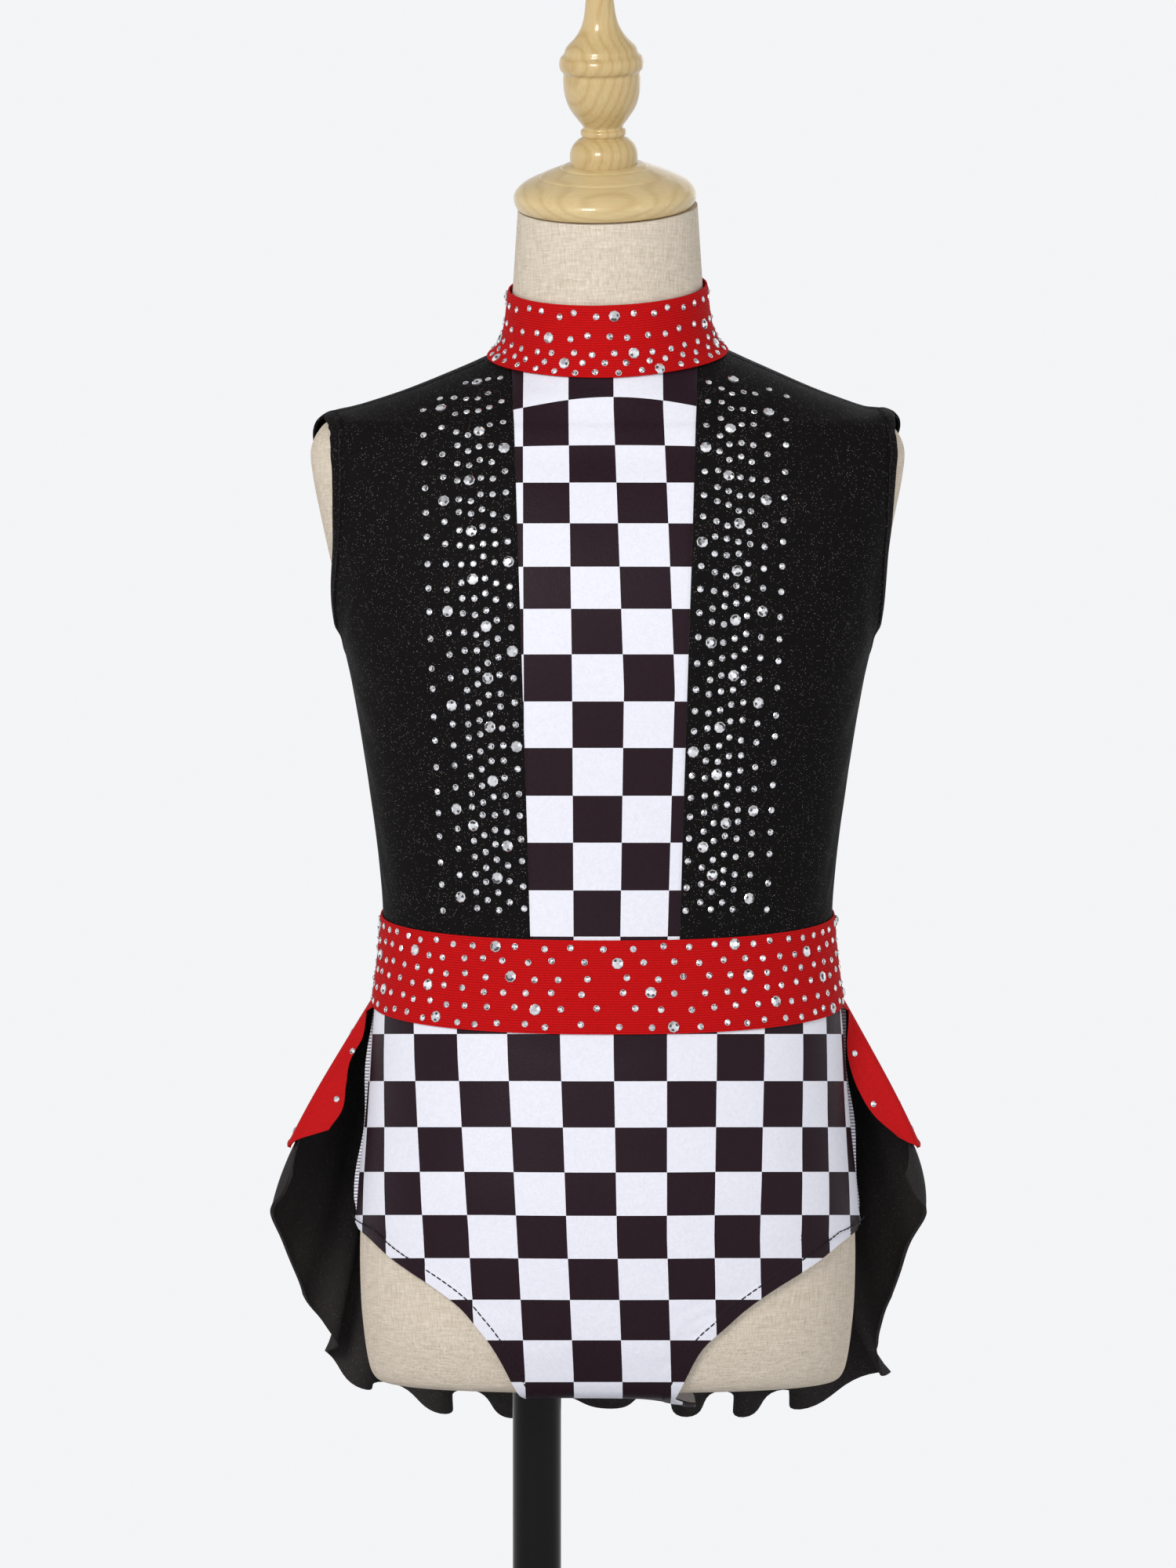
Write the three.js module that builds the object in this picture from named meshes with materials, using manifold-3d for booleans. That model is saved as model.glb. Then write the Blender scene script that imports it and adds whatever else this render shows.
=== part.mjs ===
// A girl's sleeveless figure skating bodysuit with a high collar, a wide waist belt and a
// two-tier tail skirt, worn by a limbless linen dress form with a turned wooden cap, which
// stands on a pole and a round base. Millimetres, +Z up, the front faces -Y.
// The origin is the centre of the base's underside, on the pole's axis.
//
// The form is lofted through the sections below. Every cloth piece that fits closely is a wall
// made from the same surface, moved out. The tail tiers hang from the belt's lower edge.

import * as THREE from 'three';
import { mergeVertices } from 'three/addons/utils/BufferGeometryUtils.js';
import Module from 'manifold-3d';

const wasm = await Module();
wasm.setup();

const TURN = 2 * Math.PI;
const { cos, sin, tan, abs, sign, min, max, sqrt, exp } = Math;
const radians = THREE.MathUtils.degToRad;
const { lerp, clamp, smoothstep } = THREE.MathUtils;

// Driving dimensions

const STAND = {
  bodyAside: 37,        // the form sits this far to the right of its pole
  formBottom: 356,      // height of the form's flat underside above the floor
  poleRadius: 12.7,
  poleBack: 5,          // the pole's place behind the form's middle
  poleInForm: 58,
  fitGap: 0.3,
  baseRadius: 155,
  baseEdge: 9,
  baseDome: 15,
  bossRadius: 24,
  bossHeight: 36,
  socketFloor: 5,
};

const CLOTH = {
  clear: 1.6,           // gap between the form and the cloth on it
  wall: 1.0,
  seam: 0.3,            // gap between two panels
  lift: 0.4,            // gap between a panel and a band that lies on it
  bandWall: 1.2,
};

// Heights above the form's underside, measured at its sides.
const LEVEL = {
  beltBottom: 198,
  waistSeam: 222,
  beltTop: 245,
  neckline: 535.5,
  collarTop: 572,
  neckTop: 612.5,
};

// How far each armhole reaches in front of the side and behind it.
const ARMHOLE = table(['height', 'frontRight', 'frontLeft', 'backRight', 'backLeft'],
  [386, 0, 0, 0, 0], [390, 7, 7, 9, 9], [397, 12.5, 12.5, 17, 17], [408, 19, 20, 26, 26],
  [430, 27, 34, 37, 37], [443, 29.5, 39, 40.5, 40], [457, 32.5, 41.5, 42, 41],
  [471, 33.4, 41.8, 40, 36], [484, 31.5, 39.5, 33, 27], [494, 26, 34, 22, 15],
  [498.5, 20, 28, 15, 8], [501, 11, 17, 8, 4], [502, 0, 0, 0, 0]);
const CENTRE_PANEL = { halfTop: 47.5, halfWaist: 37, shift: -1.6 };
const COLLAR = { underlap: 1, lap: radians(11), start: radians(3), flare: 0.6 };
const CAP = { pitch: radians(17), roll: radians(1.6), aside: -1.2 };

// The form's cross-sections, from the underside to the top of the neck. halfWidth is to each
// side, front and back are depths from the section's own middle, middle is that middle's place
// behind the axis, slope is how much a section rises towards the back, roll how much it rises
// towards the wearer's left, and square is the outline's exponent: 2 is an ellipse.
const FORM_SECTIONS = table(
  ['height', 'halfWidth', 'front', 'back', 'middle', 'slope', 'roll', 'square'],
  [0, 113, 62, 86, 0, 0, 0, 2.4],
  [1.6, 119.5, 68.5, 93, 0, 0, 0, 2.4],
  [5.5, 123, 73, 97.5, 0, 0, 0, 2.4],
  [13, 125.2, 77, 100.5, 0, 0, 0, 2.45],
  [27, 127.2, 82.5, 103.5, 0, 0, 0, 2.5],
  [46, 128.8, 86.5, 105, 0, 0, 0, 2.5],
  [75, 129.2, 90, 104.5, 0, 0.01, 0, 2.5],
  [104, 127.5, 91, 100, 0, 0.04, 0, 2.5],
  [132, 124.6, 90, 93, 0, 0.09, 0, 2.45],
  [162, 122, 88.5, 84, 0, 0.13, 0, 2.4],
  [198, 119.2, 86, 75.5, 0, 0.155, 0, 2.35],
  [222, 116.4, 84.5, 70.5, 0, 0.155, 0, 2.3],
  [245, 114.8, 83.2, 67.5, 0, 0.15, 0, 2.3],
  [270, 116.6, 84, 69, 0, 0.1, 0, 2.35],
  [300, 120.5, 86.5, 73, 0, 0.05, 0, 2.4],
  [334, 125.6, 89.5, 79, 0, 0.02, 0, 2.45],
  [364, 130.8, 91.5, 83, 0, 0, 0, 2.5],
  [386, 135.5, 92, 85, 0, 0, 0, 2.5],
  [408, 140, 91, 85.5, 0, 0.02, 0, 2.5],
  [430, 144.8, 87.5, 85, 0, 0.05, 0, 2.55],
  [452, 149.6, 82, 83, 0, 0.08, 0, 2.6],
  [472, 153.6, 75.5, 79.5, 0, 0.11, 0, 2.6],
  [487, 155, 69.5, 75.5, 0.5, 0.14, 0, 2.6],
  [497, 151, 66.5, 72.5, 1, 0.155, 0, 2.55],
  [503, 143.5, 64.5, 70, 1.5, 0.165, 0, 2.5],
  [507.5, 129, 62.5, 68, 2, 0.18, 0.003, 2.4],
  [514.5, 108.5, 61, 66, 3, 0.2, 0.008, 2.3],
  [523.5, 86, 59.5, 63.5, 4, 0.235, 0.016, 2.15],
  [530, 70.5, 58, 61, 5, 0.26, 0.022, 2.05],
  [535.5, 59.5, 55.5, 57.5, 4.5, 0.27, 0.026, 2],
  [542, 54, 53, 54.5, 3, 0.275, 0.03, 2],
  [552, 51.2, 51, 52, 1, 0.28, 0.032, 2],
  [572, 49.6, 48.8, 49, -3, 0.285, 0.033, 2],
  [592, 48.2, 47, 47, -8, 0.295, 0.03, 2],
  [612.5, 46.8, 45.2, 45.2, -13, tan(CAP.pitch), tan(CAP.roll), 2]);

// The leg openings: half the width of the brief between them, in front and at the back, and how
// far the front's middle lies to the left.
const LEG = table(['height', 'front', 'back', 'shift'],
  [84, 130, 130, 0], [83, 128.2, 129.5, 0], [81.5, 125.2, 128.8, 0.2], [79.5, 121.3, 128, 0.5],
  [75, 115, 126, 1], [70, 108.5, 123, 1.4], [64, 99.3, 119.5, 1.6], [56, 86.2, 114, 2],
  [46, 72.4, 107, 2.6], [37, 63.3, 99.5, 3.8], [27, 53.8, 88, 5.4], [20, 49.3, 79, 5.6],
  [13, 45.8, 67, 5.5], [5.5, 42, 53, 5.4], [1.6, 39.5, 46, 5], [0, 38, 42, 4.2]);

// Under the form the brief narrows and passes the pole on its right, and its right edge droops.
const CROTCH = { seamAt: 24, half: 32.5, shift: 13, droop: 7, rows: 4 };

// The turned cap and finial: distance from the axis and height above the neck's top.
const CAP_PROFILE = table(['radius', 'height'], [0, 0.3], [44, 0.3], [46.6, 2], [47.6, 5.5], [46.8, 9],
  [43, 12.2], [38.6, 14], [34.2, 15], [33.2, 17], [29, 19], [24.4, 20.4], [20, 22.4], [0, 22.4]);
const FINIAL_PROFILE = table(['radius', 'height'], [0, 22.7], [18.4, 22.7], [18.8, 24.8], [17.8, 26.6],
  [18.1, 29.6], [17.2, 32.6], [14.8, 35.2], [10.8, 37.1], [11.7, 38.7], [11.6, 40.6], [10.2, 41.8],
  [10.7, 43.2], [13.6, 47], [17.5, 53], [19.6, 60], [20.1, 67], [19.9, 70.6], [21.4, 72.6], [21.9, 75.6],
  [21.2, 78.6], [19.4, 80.6], [18, 84], [13.6, 88.6], [10.4, 93.6], [8.6, 99], [7.6, 105.6],
  [7.4, 110.6], [9.2, 113.6], [9.6, 117.6], [7.8, 123.6], [3.6, 130], [0, 132.6]);

// The tail skirt. lead is where a tier starts at each side, drop is its cut length, flare and
// settle shape how it leans out as it falls, and wave is its ruffle at the longest hem.
const TAIL = {
  ruffles: 14, wave: 12, longest: 254, phase: 0.35, root: 0.09,
  flareSide: 0.63, settleSide: 0.0014, flareBack: 0.5, settleBack: 0.00065,
};
const BLACK_TIER = { side: 118, back: 254, out: 0.5, spread: 0 };
const RED_TIER = { side: 80, back: 154, out: 2.2, spread: 0.02 };
// How far each end of the red tier folds forward over the black tier's edge, by share of its drop.
const RIGHT_FLAP = table(['share', 'width'], [0, 1], [0.2, 4], [0.42, 12], [0.65, 16], [0.85, 14], [1, 6]);
const LEFT_FLAP = table(['share', 'width'], [0, 1], [0.25, 4], [0.45, 6], [0.65, 13], [0.85, 19], [1, 17]);

// How many columns and rows the faceted walls have.
const FACETS = {
  form: 36, centre: 8, frontSide: 7, back: 8, collar: 36, belt: 40, brief: 14,
  tierRuffle: 6, blackRows: 6, redRows: 4, flap: 4, turned: 24, finial: 18, pole: 24, base: 40,
};

// Tables and curves

function table(names, ...rows) {
  return rows.map((row) => Object.fromEntries(names.map((name, i) => [name, row[i]])));
}

// A smooth curve through four neighbouring values (Catmull and Rom's).
function through(p0, p1, p2, p3, t) {
  const a = 2 * p1, b = p2 - p0, c = 2 * p0 - 5 * p1 + 4 * p2 - p3, d = 3 * (p1 - p2) + p3 - p0;
  return 0.5 * (a + (b + (c + d * t) * t) * t);
}

// The form's section at a row number, which may lie between two rows.
function section(row) {
  const last = FORM_SECTIONS.length - 1;
  const at = clamp(row, 0, last), i = min(Math.floor(at), last - 1), t = at - i;
  if (row < 0) return underside(-row);
  const four = [max(i - 1, 0), i, i + 1, min(i + 2, last)].map((k) => FORM_SECTIONS[k]);
  return Object.fromEntries(Object.keys(four[0]).map((name) =>
    [name, through(...four.map((s) => s[name]), t)]));
}

// Row numbers below 0 run under the form, from its rim to the crotch seam in front of the axis.
function underside(share) {
  const rim = FORM_SECTIONS[0];
  const { seamAt } = CROTCH;
  return { ...rim, front: lerp(rim.front, seamAt, share), back: lerp(rim.back, -seamAt, share) };
}

// The row number of a height at the sides, by halving.
function rowAt(height) {
  let low = 0, high = FORM_SECTIONS.length - 1;
  for (let i = 0; i < 40; i += 1) {
    const middle = (low + high) / 2;
    if (section(middle).height < height) low = middle;
    else high = middle;
  }
  return (low + high) / 2;
}

// A value read off a table in straight steps. The key column may rise or fall.
function read(rows, key, value, at) {
  const rising = rows.at(-1)[key] > rows[0][key] ? rows : [...rows].reverse();
  const i = rising.findIndex((r) => r[key] >= at);
  if (i === -1) return rising.at(-1)[value];
  if (i === 0) return rising[0][value];
  const [p, q] = [rising[i - 1], rising[i]];
  return lerp(p[value], q[value], (at - p[key]) / (q[key] - p[key]));
}

// The form's surface

// A point of a section's outline. The angle runs from the right side over the back.
function outline(s, angle) {
  const power = 2 / s.square, c = cos(angle), q = sin(angle);
  const x = s.halfWidth * sign(c) * abs(c) ** power;
  const y = (q < 0 ? s.front : s.back) * sign(q) * abs(q) ** power;
  return new THREE.Vector3(x, s.middle + y, s.height + s.slope * y + s.roll * x);
}

// The outward normal of a surface function of two parameters, the first anticlockwise.
function normalOf(surface, a, b, step = 0.01) {
  const along = surface(a + step, b).sub(surface(a - step, b));
  const up = surface(a, b + step).sub(surface(a, b - step));
  return along.cross(up).normalize();
}

const formSurface = (angle, row) => outline(section(row), angle);

function onForm(angle, row, out) {
  return formSurface(angle, row).addScaledVector(normalOf(formSurface, angle, row), out);
}

// The outline angle where the front or back of a section is this far to the side.
function angleAtX(s, x, facing) {
  const c = sign(x) * min(abs(x) / s.halfWidth, 1) ** (s.square / 2);
  return facing * Math.acos(c);
}

// The outline angle, from the side, where a section is this deep in front of or behind its middle.
const angleAtDepth = (s, depth, facing) =>
  facing * Math.asin(min(abs(depth) / (facing < 0 ? s.front : s.back), 1) ** (s.square / 2));

// Walls

// A closed wall between two surfaces given on a grid: columns run anticlockwise, rows upwards.
function wall(columns, rows, inner, outer, ring = false) {
  const points = [], faces = [];
  const across = ring ? columns : columns + 1;
  for (const side of [inner, outer])
    for (let j = 0; j <= rows; j += 1)
      for (let i = 0; i < across; i += 1) points.push(side(i / columns, j / rows));
  const id = (layer, i, j) => layer * across * (rows + 1) + j * across + (ring ? i % columns : i);
  const quad = (a, b, c, d) => faces.push(a, b, c, a, c, d);
  for (let i = 0; i < columns; i += 1) {
    for (let j = 0; j < rows; j += 1) {
      quad(id(1, i, j), id(1, i + 1, j), id(1, i + 1, j + 1), id(1, i, j + 1));
      quad(id(0, i, j), id(0, i, j + 1), id(0, i + 1, j + 1), id(0, i + 1, j));
    }
    quad(id(0, i, 0), id(0, i + 1, 0), id(1, i + 1, 0), id(1, i, 0));
    quad(id(1, i, rows), id(1, i + 1, rows), id(0, i + 1, rows), id(0, i, rows));
  }
  for (let j = 0; j < rows && !ring; j += 1) {
    quad(id(0, 0, j), id(1, 0, j), id(1, 0, j + 1), id(0, 0, j + 1));
    quad(id(1, columns, j), id(0, columns, j), id(0, columns, j + 1), id(1, columns, j + 1));
  }
  return new THREE.BufferGeometry().setFromPoints(points).setIndex(faces);
}

// A wall of cloth on the form: place(u, v) gives the outline angle and the row.
function clothOnForm([columns, rows], place, clear, thick, ring = false) {
  const layer = (out) => (u, v) => {
    const [angle, row] = place(u, v);
    return onForm(angle, row, out);
  };
  return wall(columns, rows, layer(clear), layer(clear + thick), ring);
}

// The bodice

const ROW = Object.fromEntries(Object.entries(LEVEL).map(([name, height]) => [name, rowAt(height)]));
const half = (a) => a / 2;
const range = (from, to) =>
  Array.from({ length: Math.round(to - from) + 1 }, (_, i) => Math.round(from) + i);

// The cloth's rows are the form's own sections, with more of them round the armhole's ends.
const BODICE_ROWS = [
  ...range(ROW.waistSeam, rowAt(ARMHOLE[0].height)), ...[0.2, 0.5].map((t) => rowAt(ARMHOLE[0].height) + t),
  ...range(rowAt(ARMHOLE[0].height) + 1, rowAt(487)), ...[492, 497, 500.5].map(rowAt),
  ...range(rowAt(503), ROW.neckline),
];

// Where a side panel ends: the side seam, the armhole's edge or the shoulder seam.
function sideEdge(row, side, facing) {
  const armhole = (facing < 0 ? 'front' : 'back') + (side > 0 ? 'Right' : 'Left');
  const s = section(row), depth = read(ARMHOLE, 'height', armhole, s.height);
  return angleAtDepth(s, max(depth, half(CLOTH.seam)), facing);
}

// Half the width of the checked centre panel at a row.
function centreHalf(row) {
  return lerp(CENTRE_PANEL.halfWaist, CENTRE_PANEL.halfTop,
    (section(row).height - LEVEL.waistSeam) / (LEVEL.neckline - LEVEL.waistSeam));
}

function bodicePanel(columns, from, to) {
  const last = BODICE_ROWS.length - 1;
  return clothOnForm([columns, last], (u, v) => {
    const row = BODICE_ROWS[Math.round(v * last)];
    return [lerp(from(row), to(row), u), row];
  }, CLOTH.clear, CLOTH.wall);
}

const centreEdge = (side, gap) => (row) =>
  angleAtX(section(row), CENTRE_PANEL.shift + side * (centreHalf(row) + gap), -1);
const backEdge = (side) => (row) => angleAtX(section(row), side * half(CLOTH.seam), 1);

function frontCentre() {
  return bodicePanel(FACETS.centre, centreEdge(-1, -half(CLOTH.seam)), centreEdge(1, -half(CLOTH.seam)));
}

function frontSide(side) {
  const inner = centreEdge(side, half(CLOTH.seam));
  const outer = (row) => side > 0 ? sideEdge(row, side, -1) : -Math.PI - sideEdge(row, side, -1);
  return side > 0 ? bodicePanel(FACETS.frontSide, inner, outer)
    : bodicePanel(FACETS.frontSide, outer, inner);
}

function backPanel(side) {
  const inner = backEdge(side);
  const outer = (row) => side > 0 ? sideEdge(row, side, 1) : Math.PI - sideEdge(row, side, 1);
  return side > 0 ? bodicePanel(FACETS.back, outer, inner) : bodicePanel(FACETS.back, inner, outer);
}

// The collar and the belt

// The collar is a strip round the neck, which lies on the panels' neckline and flares a little
// there. Its ends lap at the centre back.
function collarWall() {
  const sweep = TURN + COLLAR.lap, onPanels = CLOTH.clear + CLOTH.wall + CLOTH.lift;
  const rows = [rowAt(LEVEL.neckline - COLLAR.underlap), ROW.neckline + 1, ROW.neckline + 2, ROW.collarTop];
  const layer = (out) => (u, v) => {
    const angle = Math.PI / 2 + COLLAR.start + u * sweep;
    const lapped = smoothstep(u * sweep, TURN - COLLAR.lap, TURN - 0.1 * COLLAR.lap);
    const clear = lerp(onPanels, CLOTH.clear, smoothstep(v, 0.3, 1)) + COLLAR.flare * (1 - v) ** 3
      + lapped * (CLOTH.bandWall + CLOTH.lift);
    return onForm(angle, rows[Math.round(v * 3)], clear + out);
  };
  return wall(FACETS.collar, rows.length - 1, layer(0), layer(CLOTH.bandWall));
}

function beltWall() {
  const clear = CLOTH.clear + CLOTH.wall + CLOTH.lift;
  return clothOnForm([FACETS.belt, 2], (u, v) => [u * TURN, lerp(ROW.beltBottom, ROW.beltTop, v)],
    clear, CLOTH.bandWall, true);
}

// The brief

// The brief's rows are the form's sections down to the legs, the leg table's heights, and then
// rows under the form to the crotch seam.
const BRIEF_ROWS = [
  ...range(1, CROTCH.rows).map((i) => -i / CROTCH.rows).reverse(),
  ...LEG.map((leg) => rowAt(leg.height)).reverse(),
  ...range(rowAt(104), ROW.waistSeam - 1), rowAt(LEVEL.waistSeam - CLOTH.seam),
];

function briefWall(facing) {
  const last = BRIEF_ROWS.length - 1, legTop = LEG[0].height;
  const layer = (out) => (u, v) => {
    const row = BRIEF_ROWS[Math.round(v * last)], s = section(row);
    const under = max(-row, 0), passing = smoothstep(under, 0, 0.75);
    const gap = under === 1 ? half(CLOTH.seam) * facing : 0;
    let from = angleAtDepth(s, half(CLOTH.seam), facing);
    let to = facing * Math.PI - from;
    if (s.height < legTop) {
      const reach = read(LEG, 'height', facing < 0 ? 'front' : 'back', s.height);
      const size = lerp(min(reach, s.halfWidth - 0.4), CROTCH.half, passing);
      const shift = lerp(-read(LEG, 'height', 'shift', s.height), CROTCH.shift, passing);
      from = angleAtX(s, shift + size, facing);
      to = angleAtX(s, shift - size, facing);
    }
    const point = onForm(facing < 0 ? lerp(to, from, u) : lerp(from, to, u), row, CLOTH.clear + out);
    const side = facing < 0 ? u : 1 - u;
    point.y += gap;
    point.z -= CROTCH.droop * smoothstep(under, -0.2, 0.7) * smoothstep(side, 0.5, 1);
    return point;
  };
  return wall(FACETS.brief, last, layer(0), layer(CLOTH.wall));
}

// The tail skirt

// A tier's surface: around runs from the right side over the back to the left, and share is how
// far down its own cut length a point lies.
function tailSurface(tier, around, share) {
  const angle = around * Math.PI, row = ROW.beltBottom - TAIL.root;
  const point = onForm(angle, row, CLOTH.clear + CLOTH.wall);
  const away = normalOf(formSurface, angle, row).setZ(0).normalize();
  const back = sin(Math.PI * clamp(around, 0, 1));
  const fall = share * lerp(tier.side, tier.back, smoothstep(back, 0.1, 0.95));
  const drop = 0.93 * fall;
  const flare = lerp(TAIL.flareSide, TAIL.flareBack, back);
  const settle = lerp(TAIL.settleSide, TAIL.settleBack, back);
  const beside = min(around, 1 - around), deep = clamp(fall / BLACK_TIER.side, 0, 1.5);
  const narrow = 0.9 - 0.07 * smoothstep(around, 0.05, 0.13) + 0.17 * smoothstep(around, 0.18, 0.4);
  const tip = 3.2 * exp(-(((beside - 0.055) / 0.03) ** 2)) * deep ** 2;
  const lean = (flare * drop - settle * drop ** 2) * narrow + tip;
  const size = TAIL.wave * smoothstep(back, 0.1, 0.75) * (max(fall, 0) / TAIL.longest) ** 1.15;
  const beat = TURN * (TAIL.ruffles * around + TAIL.phase);
  const across = new THREE.Vector3(-away.y, away.x, 0);
  point.addScaledVector(away, lean + size * cos(beat) + tier.spread * fall);
  point.addScaledVector(across, -0.35 * size * sin(2 * beat));
  point.z -= drop - 0.3 * size * cos(beat);
  if (tier === BLACK_TIER)
    point.x += (around < 0.5 ? 23 : -12) * exp(-(((beside - 0.25) / 0.04) ** 2)) * (max(fall, 0) / 220) ** 5;
  return point;
}

function tailPoint(tier, around, share, out) {
  const surface = (a, b) => tailSurface(tier, a, 1 - b);
  const normal = normalOf(surface, around, 1 - share, 0.002);
  return surface(around, 1 - share).addScaledVector(normal, tier.out + out);
}

function blackTier() {
  const columns = TAIL.ruffles * FACETS.tierRuffle;
  const layer = (out) => (u, v) => tailPoint(BLACK_TIER, u, 1 - v, out);
  return wall(columns, FACETS.blackRows, layer(0), layer(CLOTH.wall));
}

// The red tier lies over the black one, and each end folds forward round its edge.
function redTier() {
  const middle = TAIL.ruffles * FACETS.tierRuffle, columns = middle + 2 * FACETS.flap;
  const layer = (out) => (u, v) => {
    const i = u * columns - FACETS.flap, share = 1 - v;
    const past = max(-i, i - middle, 0) / FACETS.flap;
    if (past <= 0) return tailPoint(RED_TIER, clamp(i / middle, 0, 1), share, out);
    const [side, end, flap] = i < 0 ? [1, 0, RIGHT_FLAP] : [-1, 1, LEFT_FLAP];
    const start = tailPoint(RED_TIER, end, share, 0);
    const bend = 3.2 * smoothstep(share, 0, 0.3), turned = min(past * 2, 1) * Math.PI * 0.62;
    const run = max(past * 2 - 1, 0) * read(flap, 'share', 'width', share);
    const ring = onForm((i < 0 ? -1 : 1) * past * 0.11 + end * Math.PI, ROW.beltBottom - TAIL.root,
      CLOTH.clear + CLOTH.wall + RED_TIER.out + 2 * past + out);
    const fold = new THREE.Vector3(
      start.x - side * (bend * (1 - cos(turned)) + run * 0.93 - out * cos(turned)),
      start.y - bend * sin(turned) - run * 0.3 - out * sin(turned) - 1.2 * past,
      start.z + (side < 0 ? 10 : 6) * past * share);
    return ring.lerp(fold, smoothstep(share, 0, 0.3));
  };
  return wall(columns, FACETS.redRows, layer(0), layer(CLOTH.wall));
}

// The dress form, its cap and its stand

const solidOf = (geometry) => {
  const plain = geometry.clone();
  plain.deleteAttribute('normal');
  plain.deleteAttribute('uv');
  const merged = mergeVertices(plain, 1e-4);
  return new wasm.Manifold(new wasm.Mesh({
    numProp: 3, vertProperties: merged.attributes.position.array,
    triVerts: new Uint32Array(merged.index.array),
  }));
};

function geometryOf(solid) {
  const mesh = solid.getMesh();
  return new THREE.BufferGeometry()
    .setAttribute('position', new THREE.BufferAttribute(mesh.vertProperties, 3))
    .setIndex(new THREE.BufferAttribute(mesh.triVerts, 1));
}

// A closed loft through the sections, with a flat cap at each end.
function formBody() {
  const columns = FACETS.form, rows = FORM_SECTIONS.length - 1;
  const points = [], faces = [];
  for (let j = 0; j <= rows; j += 1)
    for (let i = 0; i < columns; i += 1) points.push(formSurface(TURN * i / columns, j));
  const id = (i, j) => j * columns + (i % columns);
  for (let j = 0; j < rows; j += 1)
    for (let i = 0; i < columns; i += 1)
      faces.push(id(i, j), id(i + 1, j), id(i + 1, j + 1), id(i, j), id(i + 1, j + 1), id(i, j + 1));
  for (let i = 1; i < columns - 1; i += 1) {
    faces.push(id(0, 0), id(i + 1, 0), id(i, 0));
    faces.push(id(0, rows), id(i, rows), id(i + 1, rows));
  }
  const loft = new THREE.BufferGeometry().setFromPoints(points).setIndex(faces);
  const radius = STAND.poleRadius + STAND.fitGap, depth = STAND.poleInForm + STAND.fitGap;
  const hole = new THREE.CylinderGeometry(radius, radius, 2 * depth, FACETS.pole)
    .rotateX(Math.PI / 2).translate(-STAND.bodyAside, STAND.poleBack, 0);
  return geometryOf(solidOf(loft).subtract(solidOf(hole)));
}

function turned(profile, segments = FACETS.turned) {
  const line = profile.map((p) => new THREE.Vector2(p.radius, p.height));
  return new THREE.LatheGeometry(line, segments).rotateX(Math.PI / 2);
}

function poleRod() {
  const { poleRadius, socketFloor, fitGap, formBottom, poleInForm } = STAND;
  const foot = socketFloor + fitGap, length = formBottom + poleInForm - foot;
  return new THREE.CylinderGeometry(poleRadius, poleRadius, length, FACETS.pole)
    .rotateX(Math.PI / 2).translate(0, 0, foot + length / 2);
}

function basePlate() {
  const { baseRadius, baseEdge, baseDome, bossRadius, bossHeight, poleRadius, fitGap, socketFloor } = STAND;
  const bore = poleRadius + fitGap;
  return turned(table(['radius', 'height'], [0, 0], [baseRadius - 2, 0], [baseRadius, 2],
    [baseRadius, baseEdge - 2], [baseRadius - 3, baseEdge], [bossRadius + 22, baseDome - 1],
    [bossRadius + 5, baseDome + 3], [bossRadius, baseDome + 10], [bossRadius - 2, bossHeight - 2],
    [bossRadius - 5, bossHeight], [bore, bossHeight], [bore, socketFloor], [0, socketFloor]),
  FACETS.base);
}

// Assembly

const colour = (r, g, b) => new THREE.Color(r, g, b);
const LOOKS = {
  black: { color: colour(0.012, 0.011, 0.011), roughness: 0.6, metalness: 0 },
  red: { color: colour(0.6, 0.008, 0.012), roughness: 0.65, metalness: 0 },
  checked: { color: colour(0.42, 0.42, 0.45), roughness: 0.45, metalness: 0 },
  linen: { color: colour(0.68, 0.6, 0.49), roughness: 0.85, metalness: 0 },
  wood: { color: colour(0.78, 0.61, 0.33), roughness: 0.25, metalness: 0 },
  steel: { color: colour(0.01, 0.01, 0.01), roughness: 0.3, metalness: 0.2 },
};

function piece(name, geometry, look) {
  const mesh = new THREE.Mesh(geometry, new THREE.MeshStandardMaterial(LOOKS[look]));
  mesh.name = name;
  return mesh;
}

const cap = new THREE.Group();
cap.add(
  piece('neck_cap', turned(CAP_PROFILE), 'wood'),
  piece('finial', turned(FINIAL_PROFILE, FACETS.finial), 'wood'),
);
cap.position.set(CAP.aside, section(ROW.neckTop).middle, LEVEL.neckTop);
cap.rotation.set(CAP.pitch, -CAP.roll, 0);

const dressed = new THREE.Group();
dressed.position.set(STAND.bodyAside, -STAND.poleBack, STAND.formBottom);
dressed.add(
  cap,
  piece('form_body', formBody(), 'linen'),
  piece('front_centre', frontCentre(), 'checked'),
  piece('front_right', frontSide(1), 'black'),
  piece('front_left', frontSide(-1), 'black'),
  piece('back_right', backPanel(1), 'black'),
  piece('back_left', backPanel(-1), 'black'),
  piece('collar', collarWall(), 'red'),
  piece('belt', beltWall(), 'red'),
  piece('brief_front', briefWall(-1), 'checked'),
  piece('brief_back', briefWall(1), 'checked'),
  piece('tail_black', blackTier(), 'black'),
  piece('tail_red', redTier(), 'red'),
);

const skatingBodysuit = new THREE.Group();
skatingBodysuit.add(dressed, piece('pole', poleRod(), 'steel'), piece('base', basePlate(), 'steel'));

export default skatingBodysuit;
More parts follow.
